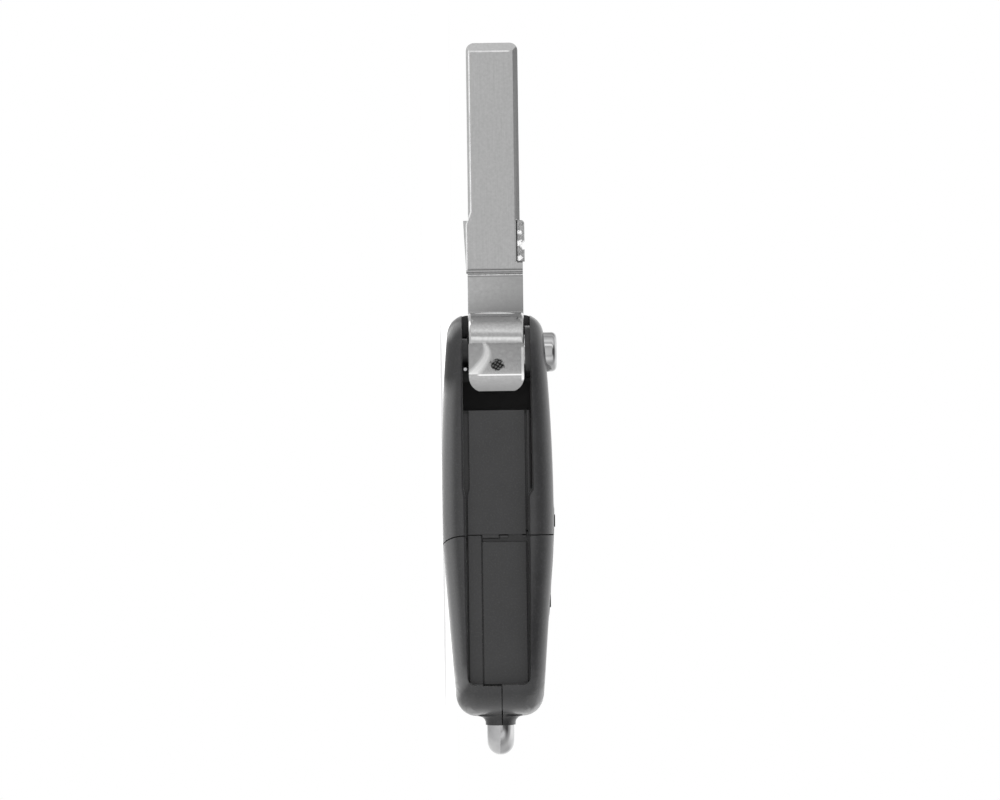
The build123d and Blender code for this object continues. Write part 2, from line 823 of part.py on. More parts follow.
# Release button: a round cap on a stem that also carries the hub's front end
with BuildPart() as release_button:
    with BuildSketch(Plane.XY.offset(above(button_step))):
        with Locations((pivot_x, pivot_y)):
            Circle(button_radius)
    extrude(amount=button_top - button_step)
    fillet(release_button.edges().filter_by(GeomType.CIRCLE).group_by(Axis.Z)[-1], button_round)
    with BuildSketch(Plane.XY.offset(above(button_bottom))):
        with Locations((pivot_x, pivot_y)):
            Circle(stem_radius)
    extrude(amount=button_step - button_bottom)
    with BuildSketch(Plane.XY.offset(above(button_top - button_dish_depth))):
        with Locations((pivot_x, pivot_y)):
            Circle(button_dish)
    extrude(amount=button_top, mode=Mode.SUBTRACT)
    with BuildSketch(Plane.XY.offset(above(button_bottom))):
        with Locations((pivot_x, pivot_y)):
            Circle(stem_hollow)
    extrude(amount=button_top - button_skin - button_bottom, mode=Mode.SUBTRACT)

# Release spring between the post and the cap
release_low = above(post_top + release_wire + seat)
release_high = above(button_top - button_skin - release_wire - seat)
release_rise = release_high - release_low
with BuildPart() as release_spring:
    with BuildLine():
        Helix(release_rise / release_turns, release_rise, release_radius, center=(pivot_x, pivot_y, release_low))
    with BuildSketch(Plane((pivot_x + release_radius, pivot_y, release_low), x_dir=(1, 0, 0), z_dir=(0, 1, 0))):
        RegularPolygon(release_wire, wire_sides)
    sweep(is_frenet=True)

# Key-ring loop with its two shanks, and the same shanks as a tool with clearance
with BuildPart() as key_ring_loop:
    with BuildLine(Plane.XY.offset(mid_z)):
        FilletPolyline(
            (along(neck_reach + seat), -loop_half_width),
            (along(loop_reach - loop_rod), -loop_half_width),
            (along(loop_reach - loop_rod), loop_half_width),
            (along(neck_reach + seat), loop_half_width),
            radius=loop_corner,
        )
    with BuildSketch(Plane((along(neck_reach + seat), -loop_half_width, mid_z), z_dir=(1, 0, 0))):
        Circle(loop_rod)
    sweep()
    with BuildSketch(Plane((along(neck_reach + loop_rod), 0, mid_z), x_dir=(0, 1, 0), z_dir=(-1, 0, 0))):
        with Locations((-loop_half_width, 0), (loop_half_width, 0)):
            Circle(shank_rod)
    extrude(amount=neck_reach + loop_rod - shank_head_x)
    with BuildSketch(Plane((along(shank_head_x), 0, mid_z), x_dir=(0, 1, 0), z_dir=(1, 0, 0))):
        with Locations((-loop_half_width, 0), (loop_half_width, 0)):
            Circle(shank_head_rod)
    extrude(amount=shank_head_length)

with BuildPart() as shank_space:
    with BuildSketch(Plane((along(shank_head_x - seat), 0, mid_z), x_dir=(0, 1, 0), z_dir=(1, 0, 0))):
        with Locations((-loop_half_width, 0), (loop_half_width, 0)):
            Circle(shank_rod + seat)
    extrude(amount=loop_reach - shank_head_x)
    with BuildSketch(Plane((along(shank_head_x - seat), 0, mid_z), x_dir=(0, 1, 0), z_dir=(1, 0, 0))):
        with Locations((-loop_half_width, 0), (loop_half_width, 0)):
            Circle(shank_head_rod + seat)
    extrude(amount=shank_head_length + 2 * seat)

# The remote's solid form: the case, its two necks and the notch that the ring passes
with BuildPart() as remote_form:
    add(case_form.part)
    with BuildSketch(Plane((along(neck_root_x), 0, mid_z), x_dir=(0, 1, 0), z_dir=(1, 0, 0))):
        with Locations((-loop_half_width, 0), (loop_half_width, 0)):
            Circle(neck_rod)
    extrude(amount=neck_reach - neck_root_x)
    with BuildSketch(Plane.XY):
        with BuildLine():
            box_outline(along(eye_notch_x), outer_x1, -eye_notch_half, eye_notch_half)
        make_face()
    extrude(amount=2 * crown_height, mode=Mode.SUBTRACT)
    notch_corners = remote_form.edges().filter_by(Axis.Z).filter_by(
        lambda edge: abs(edge.center().X - along(eye_notch_x)) < seat
    )
    fillet(notch_corners, eye_notch_corner)
    add(shank_space.part, mode=Mode.SUBTRACT)

# Button pad, caps and their holes
with BuildSketch() as pad_plan:
    with Locations((along((pad_start_x + pad_end_x) / 2), 0)):
        RectangleRounded(pad_end_x - pad_start_x, pad_width, pad_corner)

raised_form = Pos(0, 0, pad_rise) * case_form.part
cap_form = Pos(0, 0, cap_proud) * case_form.part

with BuildPart() as button_pad:
    add(raised_form)
    with BuildSketch(Plane.XY.offset(above(cavity_half + seat))):
        add(pad_plan.sketch)
    extrude(amount=crown_height, mode=Mode.INTERSECT)

# Remote, front shell: button holes, board posts and the panel of the recess floor
with BuildPart() as remote_front_shell:
    add(remote_form.part)
    with BuildSketch(Plane.XY.offset(above(parting))):
        add(remote_front_zone.sketch)
    extrude(amount=2 * crown_height, mode=Mode.INTERSECT)
    add(parting_groove.part, mode=Mode.SUBTRACT)
    add(button_pad.part)
    with BuildSketch(Plane.XY.offset(mid_z)):
        add(remote_front_hollow.sketch)
    extrude(amount=cavity_half, mode=Mode.SUBTRACT)
    add(blade_space.part, mode=Mode.SUBTRACT)
    with BuildSketch(Plane.XY.offset(above(strip_top + seam))):
        with BuildLine():
            box_outline(along(seam_x + seam + panel_setback), along(slot_end_x), floor_y, floor_back_y)
        make_face()
    extrude(amount=cavity_half - strip_top - seam)
    with BuildSketch(Plane.XY.offset(above(strip_top))):
        with BuildLine():
            box_outline(
                along(seam_x + seam + panel_setback), along(slot_end_x), floor_y + seam_depth, floor_back_y
            )
        make_face()
    extrude(amount=cavity_half - strip_top)
    with BuildSketch(Plane.XY.offset(above(strip_top + seam))):
        with BuildLine():
            box_outline(
                along(seam_x + tongue_reach + seam), along(slot_end_x), floor_back_y - gap_backing, floor_back_y
            )
        make_face()
    extrude(amount=cavity_half - strip_top - seam)
    with BuildSketch(Plane.XZ.offset(gap_backing - floor_back_y)):
        with BuildLine():
            box_outline(
                along(seam_x + tongue_reach), along(seam_x + seam + panel_setback), mid_z, above(slot_front)
            )
        make_face()
        with BuildLine():
            box_outline(along(seam_x), along(seam_x + latch_depth), above(latch_low), above(latch_high))
        make_face()
    extrude(amount=floor_wall, mode=Mode.SUBTRACT)
    add(floor_grooves.part, mode=Mode.SUBTRACT)
    with BuildSketch(Plane.XY.offset(above(cavity_half))):
        for cap_x in cap_xs.values():
            with Locations((along(cap_x), 0)):
                RectangleRounded(cap_length + 2 * cap_gap, cap_width + 2 * cap_gap, cap_length / 2)
        with Locations((along(lamp_place[0]), lamp_place[1])):
            Circle(pipe_radius + seat)
    extrude(amount=crown_height, mode=Mode.SUBTRACT)
    with BuildSketch(Plane.XY.offset(above(board_top))):
        for post_x in post_xs:
            for post_y in post_ys:
                with Locations((along(post_x), post_y)):
                    Circle(board_post_radius)
    extrude(amount=cavity_half - board_top)

# Remote, back cover: the recess floor's strip, the cell's pocket and the board posts
with BuildPart() as remote_back_cover:
    add(remote_form.part)
    with BuildSketch(Plane.XY):
        add(remote_back_zone.sketch)
    extrude(amount=above(parting), mode=Mode.INTERSECT)
    add(parting_groove.part, mode=Mode.SUBTRACT)
    with BuildSketch(Plane.XY.offset(above(-cavity_half))):
        add(remote_back_hollow.sketch)
    extrude(amount=crown_height, mode=Mode.SUBTRACT)
    with BuildSketch(Plane.XY.offset(above(-slot_back + seam))):
        with BuildLine():
            box_outline(along(seam_x + seam), along(seam_x + beyond), floor_y, floor_back_y)
        make_face()
    extrude(amount=strip_top + slot_back - seam)
    add(blade_space.part, mode=Mode.SUBTRACT)
    with BuildSketch(Plane.XY.offset(above(strip_top))):
        with BuildLine():
            box_outline(along(seam_x), along(slot_end_x + seam), outer_y0, floor_back_y)
        make_face()
    extrude(amount=crown_height, mode=Mode.SUBTRACT)
    add(floor_grooves.part, mode=Mode.SUBTRACT)
    with BuildSketch(Plane.XY.offset(above(-cavity_half))):
        for post_x in post_xs:
            for post_y in post_ys:
                with Locations((along(post_x), post_y)):
                    Circle(board_post_radius)
    extrude(amount=cavity_half + board_bottom)


def button_cap(name, cap_x):
    with BuildPart() as cap:
        with BuildSketch(Plane.XY.offset(above(cap_bottom))):
            with Locations((along(cap_x), 0)):
                RectangleRounded(cap_length, cap_width, cap_length / 2 - seat)
        extrude(amount=crown_height)
        add(cap_form, mode=Mode.INTERSECT)
        with BuildSketch(Plane.XY.offset(above(cap_bottom))):
            with Locations((along(cap_x), 0)):
                RectangleRounded(
                    cap_length + 2 * cap_flange, cap_width + 2 * cap_flange, cap_length / 2 + cap_flange - seat
                )
        extrude(amount=cavity_half - cap_bottom - seat)
        if name != "boot":
            top = cap.faces().sort_by(Axis.Z)[-1].center().Z
            with BuildSketch(Plane.XY.offset(top - nib_height)):
                with Locations((along(cap_x), 0)):
                    RectangleRounded(nib_length, nib_width, nib_length / 2 - seat)
            extrude(amount=2 * nib_height)
    cap.part.label = name + "_button"
    return cap.part


def board_block(place, size, on_top, label):
    with BuildPart() as block:
        base = board_top if on_top else board_bottom - size[2]
        with BuildSketch(Plane.XY.offset(above(base))):
            with Locations((along(place[0]), place[1])):
                Rectangle(size[0], size[1])
        extrude(amount=size[2])
        chamfer(block.edges().filter_by(Axis.Z), block_chamfer)
    block.part.label = label
    return block.part


def tact_switch(name, cap_x):
    with BuildPart() as switch:
        with BuildSketch(Plane.XY.offset(above(board_top))):
            with Locations((along(cap_x), 0)):
                Rectangle(switch_size, switch_size)
        extrude(amount=switch_body)
        chamfer(switch.edges().filter_by(Axis.Z), switch_chamfer)
        with BuildSketch(Plane.XY.offset(above(board_top + switch_body))):
            with Locations((along(cap_x), 0)):
                Circle(switch_plunger)
        extrude(amount=switch_top - board_top - switch_body)
    switch.part.label = name + "_switch"
    return switch.part


# Keypad membrane under the caps
with BuildPart() as keypad_membrane:
    with BuildSketch(Plane.XY.offset(above(membrane_bottom))):
        with Locations((along((membrane_start_x + membrane_end_x) / 2), 0)):
            RectangleRounded(membrane_end_x - membrane_start_x, membrane_width, membrane_corner)
    extrude(amount=membrane_thickness)
    with BuildSketch(Plane.XY.offset(above(membrane_bottom + membrane_thickness))):
        for cap_x in cap_xs.values():
            with Locations((along(cap_x), 0)):
                Circle(dome_radius)
    extrude(amount=dome_rise)

# Circuit board, cut to the hollow with a gap all round
with BuildPart() as circuit_board:
    with BuildSketch(Plane.XY.offset(above(board_bottom))):
        add(remote_front_hollow.sketch)
        offset(amount=-clear)
        with BuildLine():
            box_outline(along(board_end_x), outer_x1, outer_y0, outer_y1)
        make_face(mode=Mode.SUBTRACT)
    extrude(amount=board_thickness)

# Coin cell: a can with a smaller lid on its upper side
with BuildPart() as coin_cell:
    with BuildSketch(Plane.XY.offset(above(-cavity_half + seat))):
        with Locations((along(cell_x), cell_y)):
            Circle(cell_radius)
    extrude(amount=cell_can_height)
    with BuildSketch(Plane.XY.offset(above(-cavity_half + seat))):
        with Locations((along(cell_x), cell_y)):
            Circle(cell_lid_radius)
    extrude(amount=cell_height)

cell_top = -cavity_half + seat + cell_height
cell_edge_y = cell_y - cell_radius - seat

# Positive contact: a spring strip on the cell's rim, folded under the board
with BuildPart() as positive_contact:
    with BuildSketch(Plane.YZ.offset(along(cell_x))):
        with BuildLine():
            Polyline(
                (cell_edge_y, above(-cavity_half + 2 * seat)),
                (cell_edge_y, above(board_bottom - contact_thickness)),
                (cell_edge_y + contact_lip, above(board_bottom - contact_thickness)),
                (cell_edge_y + contact_lip, above(board_bottom)),
                (cell_edge_y - contact_thickness, above(board_bottom)),
                (cell_edge_y - contact_thickness, above(-cavity_half + 2 * seat)),
                close=True,
            )
        make_face()
    extrude(amount=contact_width / 2, both=True)

# Negative contact: a leaf from the board down to the cell's lid
with BuildPart() as negative_contact:
    with BuildSketch(Plane.XZ.offset(-cell_y)):
        leaf_x = along(cell_x)
        with BuildLine():
            Polyline(
                (leaf_x - contact_reach, above(cell_top + seat)),
                (leaf_x + contact_thickness, above(cell_top + seat)),
                (leaf_x + contact_thickness, above(board_bottom - contact_thickness)),
                (leaf_x + contact_lip, above(board_bottom - contact_thickness)),
                (leaf_x + contact_lip, above(board_bottom)),
                (leaf_x, above(board_bottom)),
                (leaf_x, above(cell_top + seat + contact_thickness)),
                (leaf_x - contact_reach, above(cell_top + seat + contact_thickness)),
                close=True,
            )
        make_face()
    extrude(amount=contact_width / 2, both=True)

# Antenna coil: a spool on the board
with BuildPart() as antenna_coil:
    with BuildSketch(Plane.XY.offset(above(board_top))):
        with Locations((along(coil_place[0]), coil_place[1])):
            Circle(coil_radius)
    extrude(amount=coil_flange)
    with BuildSketch(Plane.XY.offset(above(board_top))):
        with Locations((along(coil_place[0]), coil_place[1])):
            Circle(coil_core)
    extrude(amount=coil_height)
    with BuildSketch(Plane.XY.offset(above(board_top + coil_height - coil_flange))):
        with Locations((along(coil_place[0]), coil_place[1])):
            Circle(coil_radius)
    extrude(amount=coil_flange)

# Light pipe, flush with the button face, over the lamp on the board
with BuildPart() as light_pipe:
    with BuildSketch(Plane.XY.offset(above(board_top + lamp_size[2] + seat))):
        with Locations((along(lamp_place[0]), lamp_place[1])):
            Circle(pipe_radius)
    extrude(amount=crown_height)
    add(case_form.part, mode=Mode.INTERSECT)

finished = {
    "head_front_shell": head_front_shell,
    "head_back_shell": head_back_shell,
    "head_screw": head_screw,
    "transponder_chip": transponder_chip,
    "key_blade": key_blade,
    "blade_hub": blade_hub,
    "blade_roll_pin": blade_roll_pin,
    "flip_spring": flip_spring,
    "release_button": release_button,
    "release_spring": release_spring,
    "key_ring_loop": key_ring_loop,
    "remote_front_shell": remote_front_shell,
    "remote_back_cover": remote_back_cover,
    "keypad_membrane": keypad_membrane,
    "circuit_board": circuit_board,
    "coin_cell": coin_cell,
    "positive_contact": positive_contact,
    "negative_contact": negative_contact,
    "antenna_coil": antenna_coil,
    "light_pipe": light_pipe,
}
for name, piece in finished.items():
    piece.part.label = name
    export_step(piece.part, f"parts/{name}.step")

for name, cap_x in cap_xs.items():
    export_step(button_cap(name, cap_x), f"parts/{name}_button.step")
    export_step(tact_switch(name, cap_x), f"parts/{name}_switch.step")

export_step(board_block(controller_place, controller_size, False, "microcontroller"), "parts/microcontroller.step")
export_step(board_block(crystal_place, crystal_size, True, "crystal"), "parts/crystal.step")
export_step(board_block(capacitor_place, capacitor_size, True, "tuning_capacitor"), "parts/tuning_capacitor.step")
export_step(board_block(lamp_place, lamp_size, True, "indicator_lamp"), "parts/indicator_lamp.step")
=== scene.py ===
import json
import math

import bmesh
import bpy
from mathutils import Matrix, Vector

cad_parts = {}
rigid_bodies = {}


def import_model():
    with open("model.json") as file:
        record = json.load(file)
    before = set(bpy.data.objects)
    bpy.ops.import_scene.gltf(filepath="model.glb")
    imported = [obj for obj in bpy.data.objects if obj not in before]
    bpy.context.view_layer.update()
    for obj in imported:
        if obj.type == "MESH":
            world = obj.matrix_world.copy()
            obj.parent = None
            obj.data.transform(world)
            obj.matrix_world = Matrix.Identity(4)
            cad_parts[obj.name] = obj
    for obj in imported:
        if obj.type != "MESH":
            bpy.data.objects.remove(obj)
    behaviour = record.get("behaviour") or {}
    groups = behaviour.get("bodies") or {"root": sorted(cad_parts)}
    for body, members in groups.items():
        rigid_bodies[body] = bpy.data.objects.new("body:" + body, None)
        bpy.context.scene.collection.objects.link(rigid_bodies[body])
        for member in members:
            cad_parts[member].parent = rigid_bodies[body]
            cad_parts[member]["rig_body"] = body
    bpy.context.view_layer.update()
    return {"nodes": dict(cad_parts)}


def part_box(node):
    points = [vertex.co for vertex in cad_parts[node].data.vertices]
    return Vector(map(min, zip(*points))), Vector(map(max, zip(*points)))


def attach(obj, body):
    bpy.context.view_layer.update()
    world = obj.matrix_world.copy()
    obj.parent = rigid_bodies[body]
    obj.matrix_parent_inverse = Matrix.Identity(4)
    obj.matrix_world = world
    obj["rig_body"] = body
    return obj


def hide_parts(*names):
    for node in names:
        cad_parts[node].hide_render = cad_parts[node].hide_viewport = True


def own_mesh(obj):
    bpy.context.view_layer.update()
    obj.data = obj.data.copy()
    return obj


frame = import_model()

# Folding key remote, lying on its back with the blade open, seen on its slot side.
# X runs from the blade's tip to the key-ring loop and Z out of the button face, in metres.
mm = 0.001
scene = bpy.context.scene
scene.view_settings.view_transform = "Standard"


def middle(node):
    low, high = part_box(node)
    return (low + high) / 2


# Places that several pieces share, read from the frame
pivot = middle("release_button")
midZ = middle("key_ring_loop").z
bladeY = middle("key_blade").y
print("frame loaded, pivot at", [round(v / mm, 2) for v in pivot])

# The finger scoop in the hub's drum, from the pivot: where it starts and ends, its depth in the frame's mesh
# and the depth that it is shown with
scoop = {"startX": -1.6 * mm, "startY": -6.609 * mm, "endX": 3.75 * mm, "endY": -2.7 * mm,
         "meshDepth": 0.7 * mm, "depth": 0.25 * mm, "slack": 0.05 * mm}

# Settings that many nodes share
add = {"operation": "ADD"}
multiply = {"operation": "MULTIPLY"}
maximum = {"operation": "MAXIMUM"}
absolute = {"operation": "ABSOLUTE"}
falling = {"To Min": 1, "To Max": 0}


def linearColour(hexText):
    # sRGB hex to the linear values that a shader takes
    parts = [int(hexText[i:i + 2], 16) / 255 for i in (1, 3, 5)]
    return [p / 12.92 if p <= 0.04045 else ((p + 0.055) / 1.055) ** 2.4 for p in parts] + [1]


def fillRamp(elements, stops):
    # each stop is a place from 0 to 1 with an sRGB hex colour or a grey level
    for number, (place, shade) in enumerate(stops):
        if number in (0, len(stops) - 1):
            element = elements[0 if number == 0 else -1]
            element.position = place
        else:
            element = elements.new(place)
        element.color = linearColour(shade) if isinstance(shade, str) else [shade] * 3 + [1]


def linkInputs(tree, node, links):
    # a link comes from the given output, or from the first output of the given node
    for key, source in links.items():
        output = source if isinstance(source, bpy.types.NodeSocket) else source.outputs[0]
        tree.links.new(output, node.inputs[key])


def addNode(tree, kind, settings=None, links=None):
    # settings holds the node's own properties, its ramp's stops and its unlinked sockets
    node = tree.nodes.new("ShaderNode" + kind)
    for key, value in (settings or {}).items():
        if key == "stops":
            fillRamp(node.color_ramp.elements, value)
        elif isinstance(key, str) and hasattr(node, key) and key not in node.inputs:
            setattr(node, key, value)
        else:
            node.inputs[key].default_value = value
    linkInputs(tree, node, links or {})
    return node


def startMaterial(name, settings):
    material = bpy.data.materials.new(name)
    material.use_nodes = True
    tree = material.node_tree
    shader = tree.nodes["Principled BSDF"]
    for key, value in settings.items():
        shader.inputs[key].default_value = value
    return material, tree, shader, addNode(tree, "TexCoord").outputs["Object"]


def keyAxes(tree, place):
    # X along the key from the pivot, Z across it from the middle of its thickness, and Y as it is
    axes = addNode(tree, "SeparateXYZ", links={0: place}).outputs
    alongX = addNode(tree, "Math", {"operation": "SUBTRACT", 1: pivot.x}, {0: axes["X"]})
    acrossZ = addNode(tree, "Math", {"operation": "SUBTRACT", 1: midZ}, {0: axes["Z"]})
    return alongX, acrossZ, axes["Y"]


def lineAt(tree, coordinate, centre, half):
    # 1 on a thin line across the given coordinate, 0 away from it
    away = addNode(tree, "Math", {"operation": "SUBTRACT", 1: centre}, {0: coordinate})
    off = addNode(tree, "Math", absolute, {0: away})
    return addNode(tree, "MapRange", {"From Min": 0.6 * half, "From Max": half, **falling}, {"Value": off})


def spanOf(tree, coordinate, start, end, fade):
    # 1 between the two values of the coordinate, fading to 0 outside them
    after = addNode(tree, "MapRange", {"From Min": start - fade, "From Max": start}, {"Value": coordinate})
    before = addNode(tree, "MapRange", {"From Min": end, "From Max": end + fade, **falling},
                     {"Value": coordinate})
    return addNode(tree, "Math", multiply, {0: after, 1: before})


def ellipseOf(tree, alongX, acrossZ, centreX, centreZ, halfX, halfZ):
    # 0 in the middle of an ellipse on the slot side and 1 on its outline
    squares = []
    for coordinate, centre, half in ((alongX, centreX, halfX), (acrossZ, centreZ, halfZ)):
        off = addNode(tree, "Math", {"operation": "SUBTRACT", 1: centre}, {0: coordinate})
        part = addNode(tree, "Math", {"operation": "DIVIDE", 1: half}, {0: off})
        squares.append(addNode(tree, "Math", multiply, {0: part, 1: part}))
    return addNode(tree, "Math", add, {0: squares[0], 1: squares[1]})


plastic = {
    "light": "#303031", "dark": "#272728", "speck": "#464647", "roughLow": 0.28, "roughHigh": 0.36,
    "grain": 0.3 * mm,  # spark-eroded mould texture is nearer 0.1 mm, drawn coarser so that it shows
    "grainDepth": 0.03 * mm, "flow": 7 * mm, "edge": 0.12 * mm, "sheen": 0.12,
}
pocket = {  # the recess behind the hub, with a painted shade colour: its place from the pivot along the key, in Y and from the middle in Z
    "colour": "#292929", "rough": 0.6, "alongX": (5 * mm, 10.4 * mm), "outY": (-13.4 * mm, -4.4 * mm),
    "halfZ": 6.2 * mm, "fade": 0.1 * mm, "fadeY": 0.3 * mm,
}


def makeCasePlastic():
    # ABS moulded in a spark-eroded tool: satin black with a fine grain that softens its highlights
    material, tree, shader, place = startMaterial(
        "mouldedBlackAbs", {"IOR": 1.53, "Sheen Weight": plastic["sheen"], "Sheen Roughness": 0.4}
    )
    flow = addNode(tree, "TexNoise", {"Scale": 1 / plastic["flow"], "Detail": 3, "Roughness": 0.6},
                   {"Vector": place})
    grain = addNode(tree, "TexNoise", {"Scale": 1 / plastic["grain"], "Detail": 2, "Roughness": 0.5},
                    {"Vector": place})
    base = addNode(tree, "ValToRGB", {"stops": [(0.3, plastic["dark"]), (0.7, plastic["light"])]},
                   {"Fac": flow})
    specks = addNode(tree, "MapRange", {"From Min": 0.5, "From Max": 0.8, "To Max": 0.5}, {"Value": grain})
    speckled = addNode(tree, "Mix", {"data_type": "RGBA", 7: linearColour(plastic["speck"])},
                       {0: specks, 6: base}).outputs[2]

    # The pocket behind the hub is left rough from the tool, and its colour is darkened as painted shade
    alongX, acrossZ, outY = keyAxes(tree, place)
    offZ = addNode(tree, "Math", absolute, {0: acrossZ})
    halfZ = pocket["halfZ"]
    across = addNode(tree, "MapRange", {"From Min": halfZ, "From Max": halfZ + pocket["fade"], **falling},
                     {"Value": offZ})
    inside = addNode(tree, "Math", multiply,
                     {0: spanOf(tree, alongX, *pocket["alongX"], pocket["fade"]), 1: across})
    inPocket = addNode(tree, "Math", multiply,
                       {0: spanOf(tree, outY, *pocket["outY"], pocket["fadeY"]), 1: inside})
    pocketShaded = addNode(tree, "Mix", {"data_type": "RGBA", 7: linearColour(pocket["colour"])},
                    {0: inPocket, 6: speckled}).outputs[2]
    rough = addNode(tree, "MapRange", {"To Min": plastic["roughLow"], "To Max": plastic["roughHigh"]},
                    {"Value": flow})
    pocketRough = addNode(tree, "Mix", {3: pocket["rough"]}, {0: inPocket, 2: rough})
    edges = addNode(tree, "Bevel", {"samples": 4, "Radius": plastic["edge"]})
    grainy = addNode(tree, "Bump", {"Strength": 0.6, "Distance": plastic["grainDepth"]},
                     {"Height": grain, "Normal": edges})
    linkInputs(tree, shader, {"Base Color": pocketShaded, "Roughness": pocketRough, "Normal": grainy})
    return material


steel = {
    "light": "#b7b7b7", "dark": "#a4a4a4", "roughLow": 0.27, "roughHigh": 0.38,
    "lineLength": 10 * mm, "lineWidth": 0.1 * mm, "lineDepth": 0.004 * mm,
    "mottle": 0.45 * mm,  # grain of the plating, drawn about twice as coarse so that it shows
    "mottleDepth": 0.006 * mm, "edge": 0.05 * mm,
}
wire = {
    "light": "#c0c0c1", "dark": "#98989b", "roughLow": 0.2, "roughHigh": 0.34,
    "lineLength": 2 * mm, "lineWidth": 0.05 * mm, "lineDepth": 0.002 * mm,
    "mottle": 0.4 * mm, "mottleDepth": 0.003 * mm, "edge": 0.03 * mm,
}


def startBrushedSteel(name, values, alongAxis=0, polish=0.0):
    # Nickel-plated steel over fine belt lines: satin, with a soft mottle that breaks its highlights
    material, tree, shader, place = startMaterial(name, {"Metallic": 1.0, "Anisotropic": 0.25})
    scale = [1 / values["lineWidth"]] * 3
    scale[alongAxis] = 1 / values["lineLength"]
    drawn = addNode(tree, "Mapping", {"Scale": scale}, {"Vector": place})
    lines = addNode(tree, "TexNoise", {"Scale": 1, "Detail": 3, "Roughness": 0.65}, {"Vector": drawn})
    mottle = addNode(tree, "TexNoise", {"Scale": 1 / values["mottle"], "Detail": 3, "Roughness": 0.6},
                     {"Vector": place})
    both = addNode(tree, "Math", add, {0: lines, 1: mottle})
    blended = addNode(tree, "Math", {**multiply, 1: 0.5}, {0: both})
    colour = addNode(tree, "ValToRGB", {"stops": [(0.32, values["dark"]), (0.68, values["light"])]},
                     {"Fac": blended})
    rough = addNode(tree, "MapRange", {"To Min": values["roughLow"] - polish,
                                       "To Max": values["roughHigh"] - polish}, {"Value": blended})
    edges = addNode(tree, "Bevel", {"samples": 4, "Radius": values["edge"]})
    fine = addNode(tree, "Bump", {"Strength": 0.5, "Distance": values["lineDepth"]},
                   {"Height": lines, "Normal": edges})
    return material, tree, shader, {
        "place": place, "colour": colour, "rough": rough, "mottle": mottle, "fine": fine}


def makeBrushedSteel(name, values, alongAxis=0, polish=0.0):
    material, tree, shader, plain = startBrushedSteel(name, values, alongAxis, polish)
    mottled = addNode(tree, "Bump", {"Strength": 0.5, "Distance": values["mottleDepth"]},
                      {"Height": plain["mottle"], "Normal": plain["fine"]})
    linkInputs(tree, shader, {"Base Color": plain["colour"], "Roughness": plain["rough"], "Normal": mottled})
    return material


lug = {  # the broken-out stop lug on the blade's front edge: rough, with painted glints on its torn facets
    "startX": -22.6 * mm, "endX": -15.7 * mm, "fadeX": 0.3 * mm, "startZ": 3.75 * mm, "fadeZ": 0.25 * mm,
    "lump": 1.1 * mm, "depth": 0.6 * mm, "paintedGlint": "#ffffff", "pit": "#8e8e8e", "rough": 0.2,
    # middle along and across the blade, half length and half width of each painted glint
    "paintedGlints": ((-20.6 * mm, 4.3 * mm, 0.4 * mm, 0.45 * mm), (-18.4 * mm, 4.3 * mm, 0.75 * mm, 0.9 * mm),
               (-16.1 * mm, 4.2 * mm, 0.5 * mm, 0.55 * mm)),
}
root = {  # painted shade in two dark lines beside the holder
    "lines": (-14.25 * mm, -13.82 * mm), "half": 0.14 * mm, "shade": "#4c4c4c", "patch": 0.5 * mm,
}
edgeHighlight = {  # painted highlights along the long back edge and the tip's edge
    "backZ": -3.95 * mm, "shoulderZ": -4.76 * mm, "stepX": (-24.2 * mm, -22 * mm), "backHalf": 0.15 * mm,
    "tipX": -51.75 * mm, "tipZ": (-3.7 * mm, 2.8 * mm), "tipHalf": 0.15 * mm, "fadeX": 0.3 * mm,
    "fadeZ": 0.4 * mm, "patch": 3 * mm, "rough": 0.14, "colour": "#e4e4e4",
}


